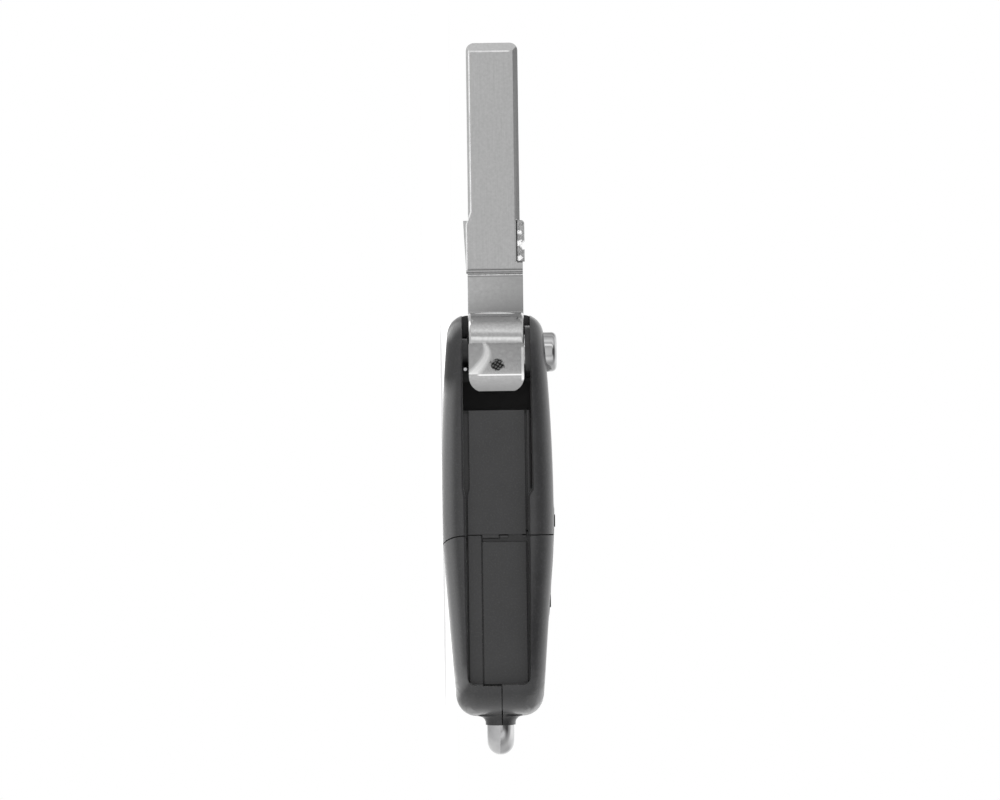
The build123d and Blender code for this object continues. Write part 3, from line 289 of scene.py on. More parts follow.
def makeBladeSteel():
    # The same satin steel with its stop lug left as it was sheared, with painted glints on the lug, painted
    # highlight lines on its edges and painted shade lines at its root where it joins the holder
    material, tree, shader, plain = startBrushedSteel("satinNickelSteel", steel)
    place = plain["place"]
    alongX, acrossZ = keyAxes(tree, place)[:2]
    above = addNode(tree, "MapRange", {"From Min": lug["startZ"], "From Max": lug["startZ"] + lug["fadeZ"]},
                    {"Value": acrossZ})
    onLug = addNode(tree, "Math", multiply,
                    {0: spanOf(tree, alongX, lug["startX"], lug["endX"], lug["fadeX"]), 1: above})
    lumps = addNode(tree, "TexNoise", {"Scale": 1 / lug["lump"], "Detail": 4, "Roughness": 0.65},
                    {"Vector": place})
    lumpy = addNode(tree, "Math", multiply, {0: onLug, 1: lumps})
    pitted = addNode(tree, "Mix", {"data_type": "RGBA", 7: linearColour(lug["pit"])},
                     {0: lumpy, 6: plain["colour"]}).outputs[2]
    # Painted glints: white spots on the lug with ragged outlines
    nearest = None
    for paintedGlint in lug["paintedGlints"]:
        spread = ellipseOf(tree, alongX, acrossZ, *paintedGlint)
        nearest = spread if nearest is None else addNode(
            tree, "Math", {"operation": "MINIMUM"}, {0: nearest, 1: spread})
    wobble = addNode(tree, "MapRange", {"From Min": 0.3, "From Max": 0.7, "To Min": -1.6, "To Max": 1.6},
                     {"Value": lumps})
    ragged = addNode(tree, "Math", add, {0: nearest, 1: wobble})
    nearGlint = addNode(tree, "MapRange", {"From Min": 0.6, "From Max": 1.1, **falling}, {"Value": ragged})
    onGlint = addNode(tree, "Math", multiply, {0: nearGlint, 1: onLug})
    glinted = addNode(tree, "Mix", {"data_type": "RGBA", 7: linearColour(lug["paintedGlint"])},
                      {0: onGlint, 6: pitted}).outputs[2]

    # Painted shade: two dark lines across the root, broken up by noise
    rootLines = [lineAt(tree, alongX, lineX, root["half"]) for lineX in root["lines"]]
    onRoot = addNode(tree, "Math", maximum, {0: rootLines[0], 1: rootLines[1]})
    patches = addNode(tree, "TexNoise", {"Scale": 1 / root["patch"], "Detail": 3, "Roughness": 0.6},
                      {"Vector": place})
    uneven = addNode(tree, "MapRange", {"To Min": 0.5, "To Max": 0.9}, {"Value": patches})
    rootShade = addNode(tree, "Math", multiply, {0: onRoot, 1: uneven})
    rootShaded = addNode(tree, "Mix", {"data_type": "RGBA", 7: linearColour(root["shade"])},
                     {0: rootShade, 6: glinted}).outputs[2]

    # Painted highlight lines where the bevels meet the face: along the back edge, round the shoulder and across
    # the tip
    stepStart, stepEnd = edgeHighlight["stepX"]
    edgeZ = addNode(tree, "MapRange", {"From Min": stepStart, "From Max": stepEnd, "To Min": edgeHighlight["backZ"],
                                       "To Max": edgeHighlight["shoulderZ"]}, {"Value": alongX})
    fromEdge = addNode(tree, "Math", {"operation": "SUBTRACT"}, {0: acrossZ, 1: edgeZ})
    backLine = addNode(tree, "Math", multiply, {
        0: lineAt(tree, fromEdge, 0, edgeHighlight["backHalf"]),
        1: spanOf(tree, alongX, edgeHighlight["tipX"], root["lines"][0], edgeHighlight["fadeX"])})
    tipLine = addNode(tree, "Math", multiply, {
        0: lineAt(tree, alongX, edgeHighlight["tipX"], edgeHighlight["tipHalf"]),
        1: spanOf(tree, acrossZ, *edgeHighlight["tipZ"], edgeHighlight["fadeZ"])})
    onEdge = addNode(tree, "Math", maximum, {0: backLine, 1: tipLine})
    highlightPatches = addNode(tree, "TexNoise", {"Scale": 1 / edgeHighlight["patch"], "Detail": 3, "Roughness": 0.6},
                   {"Vector": place})
    broken = addNode(tree, "MapRange", {"From Min": 0.35, "From Max": 0.55, "To Min": 0.45, "To Max": 0.95},
                     {"Value": highlightPatches})
    highlightShare = addNode(tree, "Math", multiply, {0: onEdge, 1: broken})
    highlighted = addNode(tree, "Mix", {"data_type": "RGBA", 7: linearColour(edgeHighlight["colour"])},
                     {0: highlightShare, 6: rootShaded}).outputs[2]

    tornRough = addNode(tree, "Mix", {3: lug["rough"]}, {0: onLug, 2: plain["rough"]})
    edgeRough = addNode(tree, "Mix", {3: edgeHighlight["rough"]}, {0: highlightShare, 2: tornRough})
    torn = addNode(tree, "Bump", {"Strength": 1.0, "Distance": lug["depth"]},
                   {"Height": lumpy, "Normal": plain["fine"]})
    linkInputs(tree, shader, {"Base Color": highlighted, "Roughness": edgeRough, "Normal": torn})
    return material


hub = {
    "light": "#b4b4b4", "dark": "#a6a6a6", "satinEndX": -7.2 * mm, "mirrorStartX": -6.4 * mm,
    "satinRough": 0.34, "mirrorRough": 0.06, "scoopRough": 0.24, "scoopStartX": -1.7 * mm,
    "mottle": 0.5 * mm, "mottleDepth": 0.0015 * mm, "edge": 0.1 * mm, "wave": 4 * mm, "waveDepth": 0.012 * mm,
}
hubShade = {  # painted shade on the nickel: beside the blade, towards the drum, towards the front and on the lip
    "colour": "#8a8a8a", "seamX": -13.12 * mm, "seamHalf": (0.05 * mm, 0.2 * mm), "drumX": -11 * mm,
    "frontZ": (-4 * mm, 4 * mm), "lipX": (4.2 * mm, 6.6 * mm),
    "drum": 0.5, "front": 0.45, "seam": 0.9, "lip": 0.9,  # shares of the painted shade colour
}
hubHighlight = {  # painted highlights on edges: the holder's end, the scoop's front edge and the edge of the lip
    "colour": "#ececec", "rough": 0.14, "endX": (-13.62 * mm, -13.33 * mm), "endFade": 0.06 * mm,
    "fray": 0.7 * mm, "frontX": (-0.6 * mm, 4.6 * mm), "frontZ": (4.42 * mm, 4.75 * mm),
    "frontFadeX": 0.4 * mm, "frontFadeZ": 0.1 * mm, "lipX": 3.85 * mm, "lipHalf": 0.16 * mm,
    "lipZ": (-2.8 * mm, 4.3 * mm), "lipFade": 0.5 * mm,
}
scoopHighlight = {  # the painted highlight streak in the scoop: its middle at four places, and its half width
    "colour": "#e8e8e8", "middleZ": (-2.0 * mm, -1.5 * mm, -2.4 * mm, -4.1 * mm), "reach": 10 * mm,
    "startHalf": 0.35 * mm, "endHalf": 1.3 * mm, "startFade": 0.3 * mm, "lipFade": 0.1 * mm,
}
scoopReflection = {  # the dark hatched spot in the scoop: a painted reflection
    "x": 2.13 * mm, "z": 0.35 * mm, "halfLength": 0.95 * mm, "halfWidth": 1.25 * mm, "ragged": 0.8 * mm,
    "hatch": 0.52 * mm, "turns": (1.0, -0.45), "dark": "#242424", "light": "#7e7e7e", "rough": 0.6,
}


def shadeHub(tree, alongX, acrossZ):
    # the share of the painted shade colour
    towardsDrum = addNode(tree, "MapRange", {"From Min": hubShade["drumX"], "From Max": hub["satinEndX"],
                                             "To Max": hubShade["drum"]}, {"Value": alongX})
    backZ, frontZ = hubShade["frontZ"]
    towardsFront = addNode(tree, "MapRange", {"From Min": backZ, "From Max": frontZ,
                                              "To Max": hubShade["front"]}, {"Value": acrossZ})
    fromSeam = addNode(tree, "Math", {"operation": "SUBTRACT", 1: hubShade["seamX"]}, {0: alongX})
    offSeam = addNode(tree, "Math", absolute, {0: fromSeam})
    seamStart, seamEnd = hubShade["seamHalf"]
    seam = addNode(tree, "MapRange", {"From Min": seamStart, "From Max": seamEnd, "To Min": hubShade["seam"],
                                      "To Max": 0}, {"Value": offSeam})
    slopes = addNode(tree, "Math", add, {0: towardsDrum, 1: towardsFront})
    holderShade = addNode(tree, "Math", maximum, {0: slopes, 1: seam})
    holderOnly = addNode(tree, "MapRange", {"From Min": hub["satinEndX"], "From Max": hub["mirrorStartX"],
                                            **falling}, {"Value": alongX})
    onHolder = addNode(tree, "Math", multiply, {0: holderShade, 1: holderOnly})
    lipStart, lipEnd = hubShade["lipX"]
    towardsLip = addNode(tree, "MapRange", {"From Min": lipStart, "From Max": lipEnd,
                                            "To Max": hubShade["lip"]}, {"Value": alongX})
    return addNode(tree, "Math", maximum, {0: onHolder, 1: towardsLip})


def highlightHubEdges(tree, place, alongX, acrossZ):
    # the share of the painted highlight colour on the edges
    patches = addNode(tree, "TexNoise", {"Scale": 1 / hubHighlight["fray"], "Detail": 3, "Roughness": 0.6},
                      {"Vector": place})
    frayed = addNode(tree, "MapRange", {"From Min": 0.35, "From Max": 0.55, "To Min": 0.4, "To Max": 1},
                     {"Value": patches})
    endLine = addNode(tree, "Math", multiply, {
        0: spanOf(tree, alongX, *hubHighlight["endX"], hubHighlight["endFade"]), 1: frayed})
    frontLine = addNode(tree, "Math", multiply, {
        0: spanOf(tree, acrossZ, *hubHighlight["frontZ"], hubHighlight["frontFadeZ"]),
        1: spanOf(tree, alongX, *hubHighlight["frontX"], hubHighlight["frontFadeX"])})
    lipLine = addNode(tree, "Math", multiply, {
        0: lineAt(tree, alongX, hubHighlight["lipX"], hubHighlight["lipHalf"]),
        1: spanOf(tree, acrossZ, *hubHighlight["lipZ"], hubHighlight["lipFade"])})
    onScoop = addNode(tree, "Math", maximum, {0: frontLine, 1: lipLine})
    return addNode(tree, "Math", maximum, {0: endLine, 1: onScoop})


def paintScoopHighlight(tree, alongX, acrossZ, inScoop):
    # the share of the painted highlight streak: its middle swings across the scoop and it widens on the way to
    # the lip
    partWay = addNode(tree, "MapRange", {"From Min": hub["scoopStartX"], "From Max": scoop["endX"]},
                      {"Value": alongX})
    swing = addNode(tree, "FloatCurve", links={"Value": partWay})
    points = swing.mapping.curves[0].points
    lastNumber = len(scoopHighlight["middleZ"]) - 1
    for number, middleZ in enumerate(scoopHighlight["middleZ"]):
        at = number / lastNumber
        height = 0.5 + middleZ / scoopHighlight["reach"]
        if number in (0, lastNumber):
            points[0 if number == 0 else -1].location = (at, height)
        else:
            points.new(at, height)
    streakZ = addNode(tree, "MapRange", {"To Min": -scoopHighlight["reach"] / 2, "To Max": scoopHighlight["reach"] / 2},
                      {"Value": swing})
    half = addNode(tree, "MapRange", {"To Min": scoopHighlight["startHalf"], "To Max": scoopHighlight["endHalf"]},
                   {"Value": partWay})
    away = addNode(tree, "Math", {"operation": "SUBTRACT"}, {0: acrossZ, 1: streakZ})
    distance = addNode(tree, "Math", absolute, {0: away})
    off = addNode(tree, "Math", {"operation": "DIVIDE"}, {0: distance, 1: half})
    beforeLip = addNode(tree, "MapRange", {"From Min": scoop["endX"] - scoopHighlight["lipFade"],
                                           "From Max": scoop["endX"], **falling}, {"Value": alongX})
    onWay = addNode(tree, "Math", multiply, {0: inScoop, 1: beforeLip})
    soft = addNode(tree, "MapRange", {"From Min": 0.4, "From Max": 1.3, **falling}, {"Value": off})
    return addNode(tree, "Math", multiply, {0: onWay, 1: soft})


def paintScoopReflection(tree, place, alongX, acrossZ):
    # the painted reflection: a ragged ellipse, and the colour of the two sets of crossed lines that fill it
    spread = ellipseOf(tree, alongX, acrossZ, scoopReflection["x"], scoopReflection["z"], scoopReflection["halfLength"],
                       scoopReflection["halfWidth"])
    lumps = addNode(tree, "TexNoise", {"Scale": 1 / scoopReflection["ragged"], "Detail": 3, "Roughness": 0.6},
                    {"Vector": place})
    wobble = addNode(tree, "MapRange", {"To Min": -1.3, "To Max": 1.3}, {"Value": lumps})
    ragged = addNode(tree, "Math", add, {0: spread, 1: wobble})
    onReflection = addNode(tree, "MapRange", {"From Min": 0.6, "From Max": 1.2, **falling}, {"Value": ragged})
    hatches = []
    for turn in scoopReflection["turns"]:
        turned = addNode(tree, "Mapping", {"Rotation": (0, turn, 0)}, {"Vector": place})
        # a wave texture's bands are 0.314 apart at a scale of 1
        hatches.append(addNode(tree, "TexWave", {"Scale": 0.314 / scoopReflection["hatch"], "Distortion": 2.6,
                                                 "Detail": 2.0}, {"Vector": turned}).outputs["Fac"])
    crossed = addNode(tree, "Math", multiply, {0: hatches[0], 1: hatches[1]})
    colour = addNode(tree, "ValToRGB", {"stops": [(0.05, scoopReflection["dark"]), (0.5, scoopReflection["light"])]},
                     {"Fac": crossed})
    return onReflection, colour


def makeHubNickel():
    # Zinc casting under nickel: polished drum with a faint ripple, satin holder with painted shade, painted
    # highlights on edges, and in the finger scoop a hatched dark spot as a painted reflection and a painted
    # highlight streak
    material, tree, shader, place = startMaterial("polishedNickelCasting", {"Metallic": 1.0})
    alongX, acrossZ = keyAxes(tree, place)[:2]
    mottle = addNode(tree, "TexNoise", {"Scale": 1 / hub["mottle"], "Detail": 3, "Roughness": 0.6},
                     {"Vector": place})
    even = addNode(tree, "ValToRGB", {"stops": [(0.3, hub["dark"]), (0.7, hub["light"])]}, {"Fac": mottle})
    inScoop = addNode(tree, "MapRange", {"From Min": hub["scoopStartX"],
                                         "From Max": hub["scoopStartX"] + scoopHighlight["startFade"]},
                      {"Value": alongX})
    highlighted = highlightHubEdges(tree, place, alongX, acrossZ)
    base = even
    for share, values in ((shadeHub(tree, alongX, acrossZ), hubShade), (highlighted, hubHighlight),
                          (paintScoopHighlight(tree, alongX, acrossZ, inScoop), scoopHighlight)):
        base = addNode(tree, "Mix", {"data_type": "RGBA", 7: linearColour(values["colour"])},
                       {0: share, 6: base}).outputs[2]
    onReflection, reflectionColour = paintScoopReflection(tree, place, alongX, acrossZ)
    withReflection = addNode(tree, "Mix", {"data_type": "RGBA"}, {0: onReflection, 6: base, 7: reflectionColour}).outputs[2]

    polished = addNode(tree, "MapRange", {"From Min": hub["satinEndX"], "From Max": hub["mirrorStartX"]},
                       {"Value": alongX})
    drumRough = addNode(tree, "Mix", {2: hub["satinRough"], 3: hub["mirrorRough"]}, {0: polished})
    scoopRough = addNode(tree, "Mix", {3: hub["scoopRough"]}, {0: inScoop, 2: drumRough})
    change = addNode(tree, "MapRange", {"To Min": -0.03, "To Max": 0.03}, {"Value": mottle})
    uneven = addNode(tree, "Math", add, {0: scoopRough, 1: change})
    edgeRough = addNode(tree, "Mix", {3: hubHighlight["rough"]}, {0: highlighted, 2: uneven})
    reflectionRough = addNode(tree, "Mix", {3: scoopReflection["rough"]}, {0: onReflection, 2: edgeRough})

    edges = addNode(tree, "Bevel", {"samples": 6, "Radius": hub["edge"]})
    waves = addNode(tree, "TexNoise", {"Scale": 1 / hub["wave"], "Detail": 1, "Roughness": 0.4},
                    {"Vector": place})
    rippled = addNode(tree, "Bump", {"Strength": 0.8, "Distance": hub["waveDepth"]},
                      {"Height": waves, "Normal": edges})
    mottled = addNode(tree, "Bump", {"Strength": 0.2, "Distance": hub["mottleDepth"]},
                      {"Height": mottle, "Normal": rippled})
    linkInputs(tree, shader, {"Base Color": withReflection, "Roughness": reflectionRough, "Normal": mottled})
    return material


chrome = {"light": "#b6b6b6", "dark": "#a6a6a7", "roughLow": 0.03, "roughHigh": 0.1, "ripple": 2.2 * mm,
          "rippleDepth": 0.02 * mm}


def makeChrome():
    # Bright chrome plating: near mirror, with the slight ripple of the casting beneath
    material, tree, shader, place = startMaterial("brightChromePlate", {"Metallic": 1.0})
    ripple = addNode(tree, "TexNoise", {"Scale": 1 / chrome["ripple"], "Detail": 2, "Roughness": 0.5},
                     {"Vector": place})
    colour = addNode(tree, "ValToRGB", {"stops": [(0.3, chrome["dark"]), (0.7, chrome["light"])]},
                     {"Fac": ripple})
    rough = addNode(tree, "MapRange", {"To Min": chrome["roughLow"], "To Max": chrome["roughHigh"]},
                    {"Value": ripple})
    rippled = addNode(tree, "Bump", {"Strength": 0.4, "Distance": chrome["rippleDepth"]}, {"Height": ripple})
    linkInputs(tree, shader, {"Base Color": colour, "Roughness": rough, "Normal": rippled})
    return material


def makeSpeckled(name, light, dark, grain, depth, roughness, settings=None):
    # Moulded or fired stock with a fine even speckle: rubber, epoxy, ceramic, resin and silicone
    material, tree, shader, place = startMaterial(name, {"Roughness": roughness, **(settings or {})})
    speckle = addNode(tree, "TexNoise", {"Scale": 1 / grain, "Detail": 3, "Roughness": 0.6}, {"Vector": place})
    colour = addNode(tree, "ValToRGB", {"stops": [(0.3, dark), (0.7, light)]}, {"Fac": speckle})
    bumps = addNode(tree, "Bump", {"Strength": 0.5, "Distance": depth}, {"Height": speckle})
    linkInputs(tree, shader, {"Base Color": colour, "Normal": bumps})
    return material


board = {"mask": "#0f5a2c", "maskDark": "#0a4522", "track": "#1b7a3e", "trackPitch": 1.6 * mm,
         "trackDepth": 0.02 * mm}


def makeBoard():
    # Glass-epoxy laminate under green solder mask, with copper tracks that show as lighter lines
    material, tree, shader, place = startMaterial("greenBoardLaminate", {"Roughness": 0.28, "IOR": 1.55})
    cells = addNode(tree, "TexVoronoi", {"feature": "DISTANCE_TO_EDGE", "Scale": 1 / (2 * board["trackPitch"])},
                    {"Vector": place}).outputs["Distance"]
    stops = [(0.03, board["track"]), (0.06, board["mask"]), (0.6, board["maskDark"])]
    colour = addNode(tree, "ValToRGB", {"stops": stops}, {"Fac": cells})
    tracks = addNode(tree, "Bump", {"Strength": 0.3, "Distance": board["trackDepth"]}, {"Height": cells})
    linkInputs(tree, shader, {"Base Color": colour, "Normal": tracks})
    return material


coil = {"light": "#b5653a", "dark": "#6e3418", "turnDepth": 0.05 * mm,
        "turn": 0.12 * mm}  # the rings are drawn about twice as far apart so that they show


def makeCoilCopper():
    # Enamelled copper wire laid in turns, which shows as fine rings across the spool
    material, tree, shader, place = startMaterial("enamelledCopperWire", {"Metallic": 0.8, "Roughness": 0.3})
    turns = addNode(tree, "TexWave", {"bands_direction": "Z", "Scale": 1 / (coil["turn"] * 2 * math.pi),
                                      "Distortion": 0.4}, {"Vector": place}).outputs["Fac"]
    colour = addNode(tree, "ValToRGB", {"stops": [(0.2, coil["dark"]), (0.8, coil["light"])]}, {"Fac": turns})
    rings = addNode(tree, "Bump", {"Strength": 0.6, "Distance": coil["turnDepth"]}, {"Height": turns})
    linkInputs(tree, shader, {"Base Color": colour, "Normal": rings})
    return material


casePlastic = makeCasePlastic()
springSteel = makeBrushedSteel("drawnSpringWire", wire)
chromePlate = makeChrome()
buttonRubber = makeSpeckled("softBlackRubber", "#232323", "#191919", 0.4 * mm, 0.01 * mm, 0.62,
                            {"Specular IOR Level": 0.4})
switchCover = makeBrushedSteel("stampedSwitchCover", steel, alongAxis=1)
looks = {
    "head_front_shell": casePlastic, "head_back_shell": casePlastic,
    "remote_front_shell": casePlastic, "remote_back_cover": casePlastic,
    "key_blade": makeBladeSteel(), "blade_hub": makeHubNickel(),
    "blade_roll_pin": springSteel, "flip_spring": springSteel, "release_spring": springSteel,
    "release_button": chromePlate, "key_ring_loop": chromePlate,
    "unlock_button": buttonRubber, "boot_button": buttonRubber, "lock_button": buttonRubber,
    "unlock_switch": switchCover, "boot_switch": switchCover, "lock_switch": switchCover,
    "head_screw": makeBrushedSteel("zincPlatedScrew", wire, alongAxis=2),
    "transponder_chip": makeSpeckled("carbonBlackChip", "#1c1c1d", "#121213", 0.5 * mm, 0.006 * mm, 0.5),
    "keypad_membrane": makeSpeckled("greySilicone", "#5a5c60", "#484a4e", 0.6 * mm, 0.01 * mm, 0.55),
    "circuit_board": makeBoard(),
    "coin_cell": makeBrushedSteel("stampedCellCan", steel, alongAxis=1, polish=0.08),
    "positive_contact": makeBrushedSteel("nickelContactStrip", wire),
    "negative_contact": makeBrushedSteel("nickelContactLeaf", wire),
    "microcontroller": makeSpeckled("blackMouldingEpoxy", "#202022", "#151516", 0.3 * mm, 0.008 * mm, 0.48),
    "crystal": makeBrushedSteel("platedCrystalLid", steel, alongAxis=1),
    "antenna_coil": makeCoilCopper(),
    "tuning_capacitor": makeSpeckled("firedTanCeramic", "#a08058", "#8a6a46", 0.3 * mm, 0.005 * mm, 0.4),
    "indicator_lamp": makeSpeckled("castLampResin", "#efe6c8", "#dccfa6", 0.8 * mm, 0.002 * mm, 0.15,
                                   {"Transmission Weight": 0.3}),
    "light_pipe": makeSpeckled("clearRedAcrylic", "#7c1a18", "#601210", 1.5 * mm, 0.002 * mm, 0.08,
                               {"Transmission Weight": 0.5, "IOR": 1.49}),
}
for nodeName, nodeObject in frame["nodes"].items():
    nodeObject.data.materials.clear()
    nodeObject.data.materials.append(looks[nodeName])
print("nodes with a material:", len(looks))


# Visible metal and plastic is shown by smooth copies of the frame's meshes, with their sharp edges kept sharp

mergeGap = 0.002 * mm
sliver = 0.001 * mm


def mergedCopy(nodeName):
    bm = bmesh.new()
    bm.from_mesh(frame["nodes"][nodeName].data)
    bmesh.ops.remove_doubles(bm, verts=bm.verts, dist=mergeGap)
    bmesh.ops.dissolve_degenerate(bm, edges=bm.edges, dist=sliver)
    return bm


def sharpEdges(bm, degrees):
    return [edge for edge in bm.edges
            if edge.is_manifold and edge.calc_face_angle(0) > math.radians(degrees)]


def cutAcross(bm, place, direction, gap, keepAll=True):
    bmesh.ops.bisect_plane(bm, geom=bm.verts[:] + bm.edges[:] + bm.faces[:], dist=gap,
                           plane_co=place, plane_no=direction, clear_outer=not keepAll)


def finishPiece(bm, nodeName, pieceName, sharpDegrees=24):
    for face in bm.faces:
        face.smooth = True
        face.material_index = 0
    for edge in bm.edges:
        edge.smooth = edge.is_manifold and edge.calc_face_angle(math.pi) < math.radians(sharpDegrees)
    mesh = bpy.data.meshes.new(pieceName)
    bm.to_mesh(mesh)
    bm.free()
    piece = bpy.data.objects.new(pieceName, mesh)
    scene.collection.objects.link(piece)
    piece.data.materials.append(looks[nodeName])
    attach(piece, frame["nodes"][nodeName]["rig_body"])
    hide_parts(nodeName)
    return piece


holder = {"topX": -13.6 * mm, "slope": 0.3 * mm, "drop": 0.11 * mm, "near": 0.02 * mm}


def slopeHolderEnd(bm):
    # The holder's end is dressed to a shallow slope, which shows as a bright line across the blade's root
    topX = pivot.x + holder["topX"]
    cutAcross(bm, (topX + holder["slope"], 0, 0), (1, 0, 0), sliver)
    ends = [vert for vert in bm.verts if abs(vert.co.x - topX) < holder["near"]]
    frontY = min(vert.co.y for vert in ends)
    for vert in ends:
        if vert.co.y < frontY + holder["near"]:
            vert.co.y += holder["drop"]


def flattenScoop(bm):
    # The drum's scoop is worn shallower than it is cut: its surface moves out towards its chord
    start = Vector((pivot.x + scoop["startX"], pivot.y + scoop["startY"]))
    chord = Vector((scoop["endX"] - scoop["startX"], scoop["endY"] - scoop["startY"]))
    length = chord.length
    onward = chord / length
    inward = Vector((-onward.y, onward.x))
    for vert in bm.verts:
        offset = vert.co.xy - start
        part = offset.dot(onward) / length
        deep = offset.dot(inward)
        bend = 4 * part * (1 - part)  # a parabola, 1 at the middle of the chord
        if 0 < part < 1 and abs(deep - scoop["meshDepth"] * bend) < scoop["slack"]:
            change = inward * (scoop["depth"] * bend - deep)
            vert.co.x += change.x
            vert.co.y += change.y


smoothed = {
    "head_front_shell": "headFrontShell", "head_back_shell": "headBackShell",
    "remote_front_shell": "remoteFrontShell", "remote_back_cover": "remoteBackCover",
    "blade_hub": "bladeHub", "flip_spring": "flipSpring",
    "key_ring_loop": "keyRingLoop", "release_button": "releaseButton",
    "unlock_button": "unlockButton", "boot_button": "bootButton", "lock_button": "lockButton",
}
for nodeName, pieceName in smoothed.items():
    pieceMesh = mergedCopy(nodeName)
    if nodeName == "blade_hub":
        flattenScoop(pieceMesh)
        slopeHolderEnd(pieceMesh)
    piece = finishPiece(pieceMesh, nodeName, pieceName)
    piece.modifiers.new("evenNormals", "WEIGHTED_NORMAL").keep_sharp = True

# The blade's long edges are broken wide enough to catch the light as bright lines, its small ones less
bladeEdge = {"wide": 0.17 * mm, "wideSteps": 3, "narrow": 0.05 * mm, "narrowSteps": 2, "longFrom": 3 * mm,
             "rootX": -15.2 * mm}
bladeMesh = mergedCopy("key_blade")
bmesh.ops.dissolve_limit(bladeMesh, angle_limit=math.radians(0.5), verts=bladeMesh.verts, edges=bladeMesh.edges)
longEdges = [edge for edge in sharpEdges(bladeMesh, 20) if edge.calc_length() > bladeEdge["longFrom"]
             and max(vert.co.x for vert in edge.verts) < pivot.x + bladeEdge["rootX"]]
bmesh.ops.bevel(bladeMesh, geom=longEdges, offset=bladeEdge["wide"], affect="EDGES",
                segments=bladeEdge["wideSteps"], profile=0.5, material=-1, clamp_overlap=True)
bmesh.ops.bevel(bladeMesh, geom=sharpEdges(bladeMesh, 35), offset=bladeEdge["narrow"], affect="EDGES",
                segments=bladeEdge["narrowSteps"], profile=0.5, material=-1, clamp_overlap=True)
keyBlade = finishPiece(bladeMesh, "key_blade", "keyBlade", 50)
keyBlade.modifiers.new("evenNormals", "WEIGHTED_NORMAL").keep_sharp = True

# Small fillets where the two round necks leave the case, split along the case's parting line
neckFillet = {
    "tailX": 62.6 * mm, "sink": 1.0 * mm, "overlap": 0.08 * mm, "offsetY": 5.65 * mm, "neckRod": 2.56 * mm,
    "radius": 1.25 * mm, "steps": 6, "around": 40, "flat": 0.1,  # share that is left towards the case's corner
    "notchHalf": 2.95 * mm, "parting": 0.3 * mm, "seam": 0.2 * mm,
}


def closeOpenEnds(bm):
    bmesh.ops.edgeloop_fill(bm, edges=[edge for edge in bm.edges if edge.is_boundary])


def makeNeckFillet(side, front):
    # A hollow profile spun round the neck, cut off at the notch between the necks and at the parting line
    bm = bmesh.new()
    neckRod, radius = neckFillet["neckRod"], neckFillet["radius"]
    profile = [bm.verts.new((neckFillet["tailX"] - neckFillet["sink"], neckRod + radius, 0))]
    for step in range(neckFillet["steps"] + 1):
        turn = math.pi / 2 * step / neckFillet["steps"]
        x = neckFillet["tailX"] - neckFillet["overlap"] + radius * (1 - math.cos(turn))
        profile.append(bm.verts.new((x, neckRod + radius - radius * math.sin(turn), 0)))
    edges = [bm.edges.new(pair) for pair in zip(profile, profile[1:])]
    bmesh.ops.spin(bm, geom=profile + edges, cent=(0, 0, 0), axis=(1, 0, 0), angle=2 * math.pi,
                   steps=neckFillet["around"], use_merge=True)
    for vert in bm.verts:
        rod = math.hypot(vert.co.y, vert.co.z)
        vert.co.y *= (neckRod + (rod - neckRod) * neckFillet["flat"]) / rod
    bmesh.ops.translate(bm, verts=bm.verts, vec=(pivot.x, side * neckFillet["offsetY"], midZ))
    closeOpenEnds(bm)
    towards = 1 if front else -1
    partZ = midZ + neckFillet["parting"] + towards * neckFillet["seam"] / 2
    notchY = side * neckFillet["notchHalf"]
    for place, away in (((0, notchY, 0), (0, -side, 0)), ((0, 0, partZ), (0, 0, -towards))):
        cutAcross(bm, place, away, 0.1 * sliver, keepAll=False)
        closeOpenEnds(bm)
    bmesh.ops.recalc_face_normals(bm, faces=bm.faces)
    nodeName = "remote_front_shell" if front else "remote_back_cover"
    name = ("front" if front else "back") + "NeckFillet" + ("Far" if side > 0 else "Near")
    return finishPiece(bm, nodeName, name, 40)


neckFillets = [makeNeckFillet(side, front) for side in (-1, 1) for front in (True, False)]

bead = {"x": -6.95 * mm, "bow": 0.35 * mm, "halfLength": 3.7 * mm, "steps": 12, "shiftZ": -0.1 * mm,
        "section": ((0, -1.60), (0.42, -1.76), (0.55, -1.2), (0.2, 1.0), (0, -1.2))}  # in millimetres


def makeHubBead():
    # Bead where the holder runs into the drum: a thin rib that bows towards the blade
    bm = bmesh.new()
    startX = pivot.x + bead["x"] + bead["bow"]
    startZ = midZ + bead["shiftZ"] - bead["halfLength"]
    corners = [bm.verts.new((startX + dx * mm, pivot.y + dy * mm, startZ)) for dx, dy in bead["section"]]
    edges = [bm.edges.new(pair) for pair in zip(corners, corners[1:] + corners[:1])]
    parts = [2 * step / bead["steps"] - 1 for step in range(bead["steps"] + 1)]
    for part, nextPart in zip(parts, parts[1:]):
        grown = bmesh.ops.extrude_edge_only(bm, edges=edges)["geom"]
        edges = [item for item in grown if isinstance(item, bmesh.types.BMEdge) and item.is_boundary]
        bmesh.ops.translate(bm, verts=[item for item in grown if isinstance(item, bmesh.types.BMVert)], vec=(
            bead["bow"] * (nextPart ** 2 - part ** 2), 0, bead["halfLength"] * (nextPart - part)))
    closeOpenEnds(bm)
    bmesh.ops.recalc_face_normals(bm, faces=bm.faces)
    return finishPiece(bm, "blade_hub", "hubBead")


hubBead = makeHubBead()

# The release spring gets a smooth copy with a mesh of its own
releaseSpring = finishPiece(mergedCopy("release_spring"), "release_spring", "releaseSpring")
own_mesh(releaseSpring)
print("smooth pieces made:", len(smoothed) + len([keyBlade, hubBead, releaseSpring, *neckFillets]))

# Studio: a pale light table, soft lamps and a light tent with darker gaps between its panels

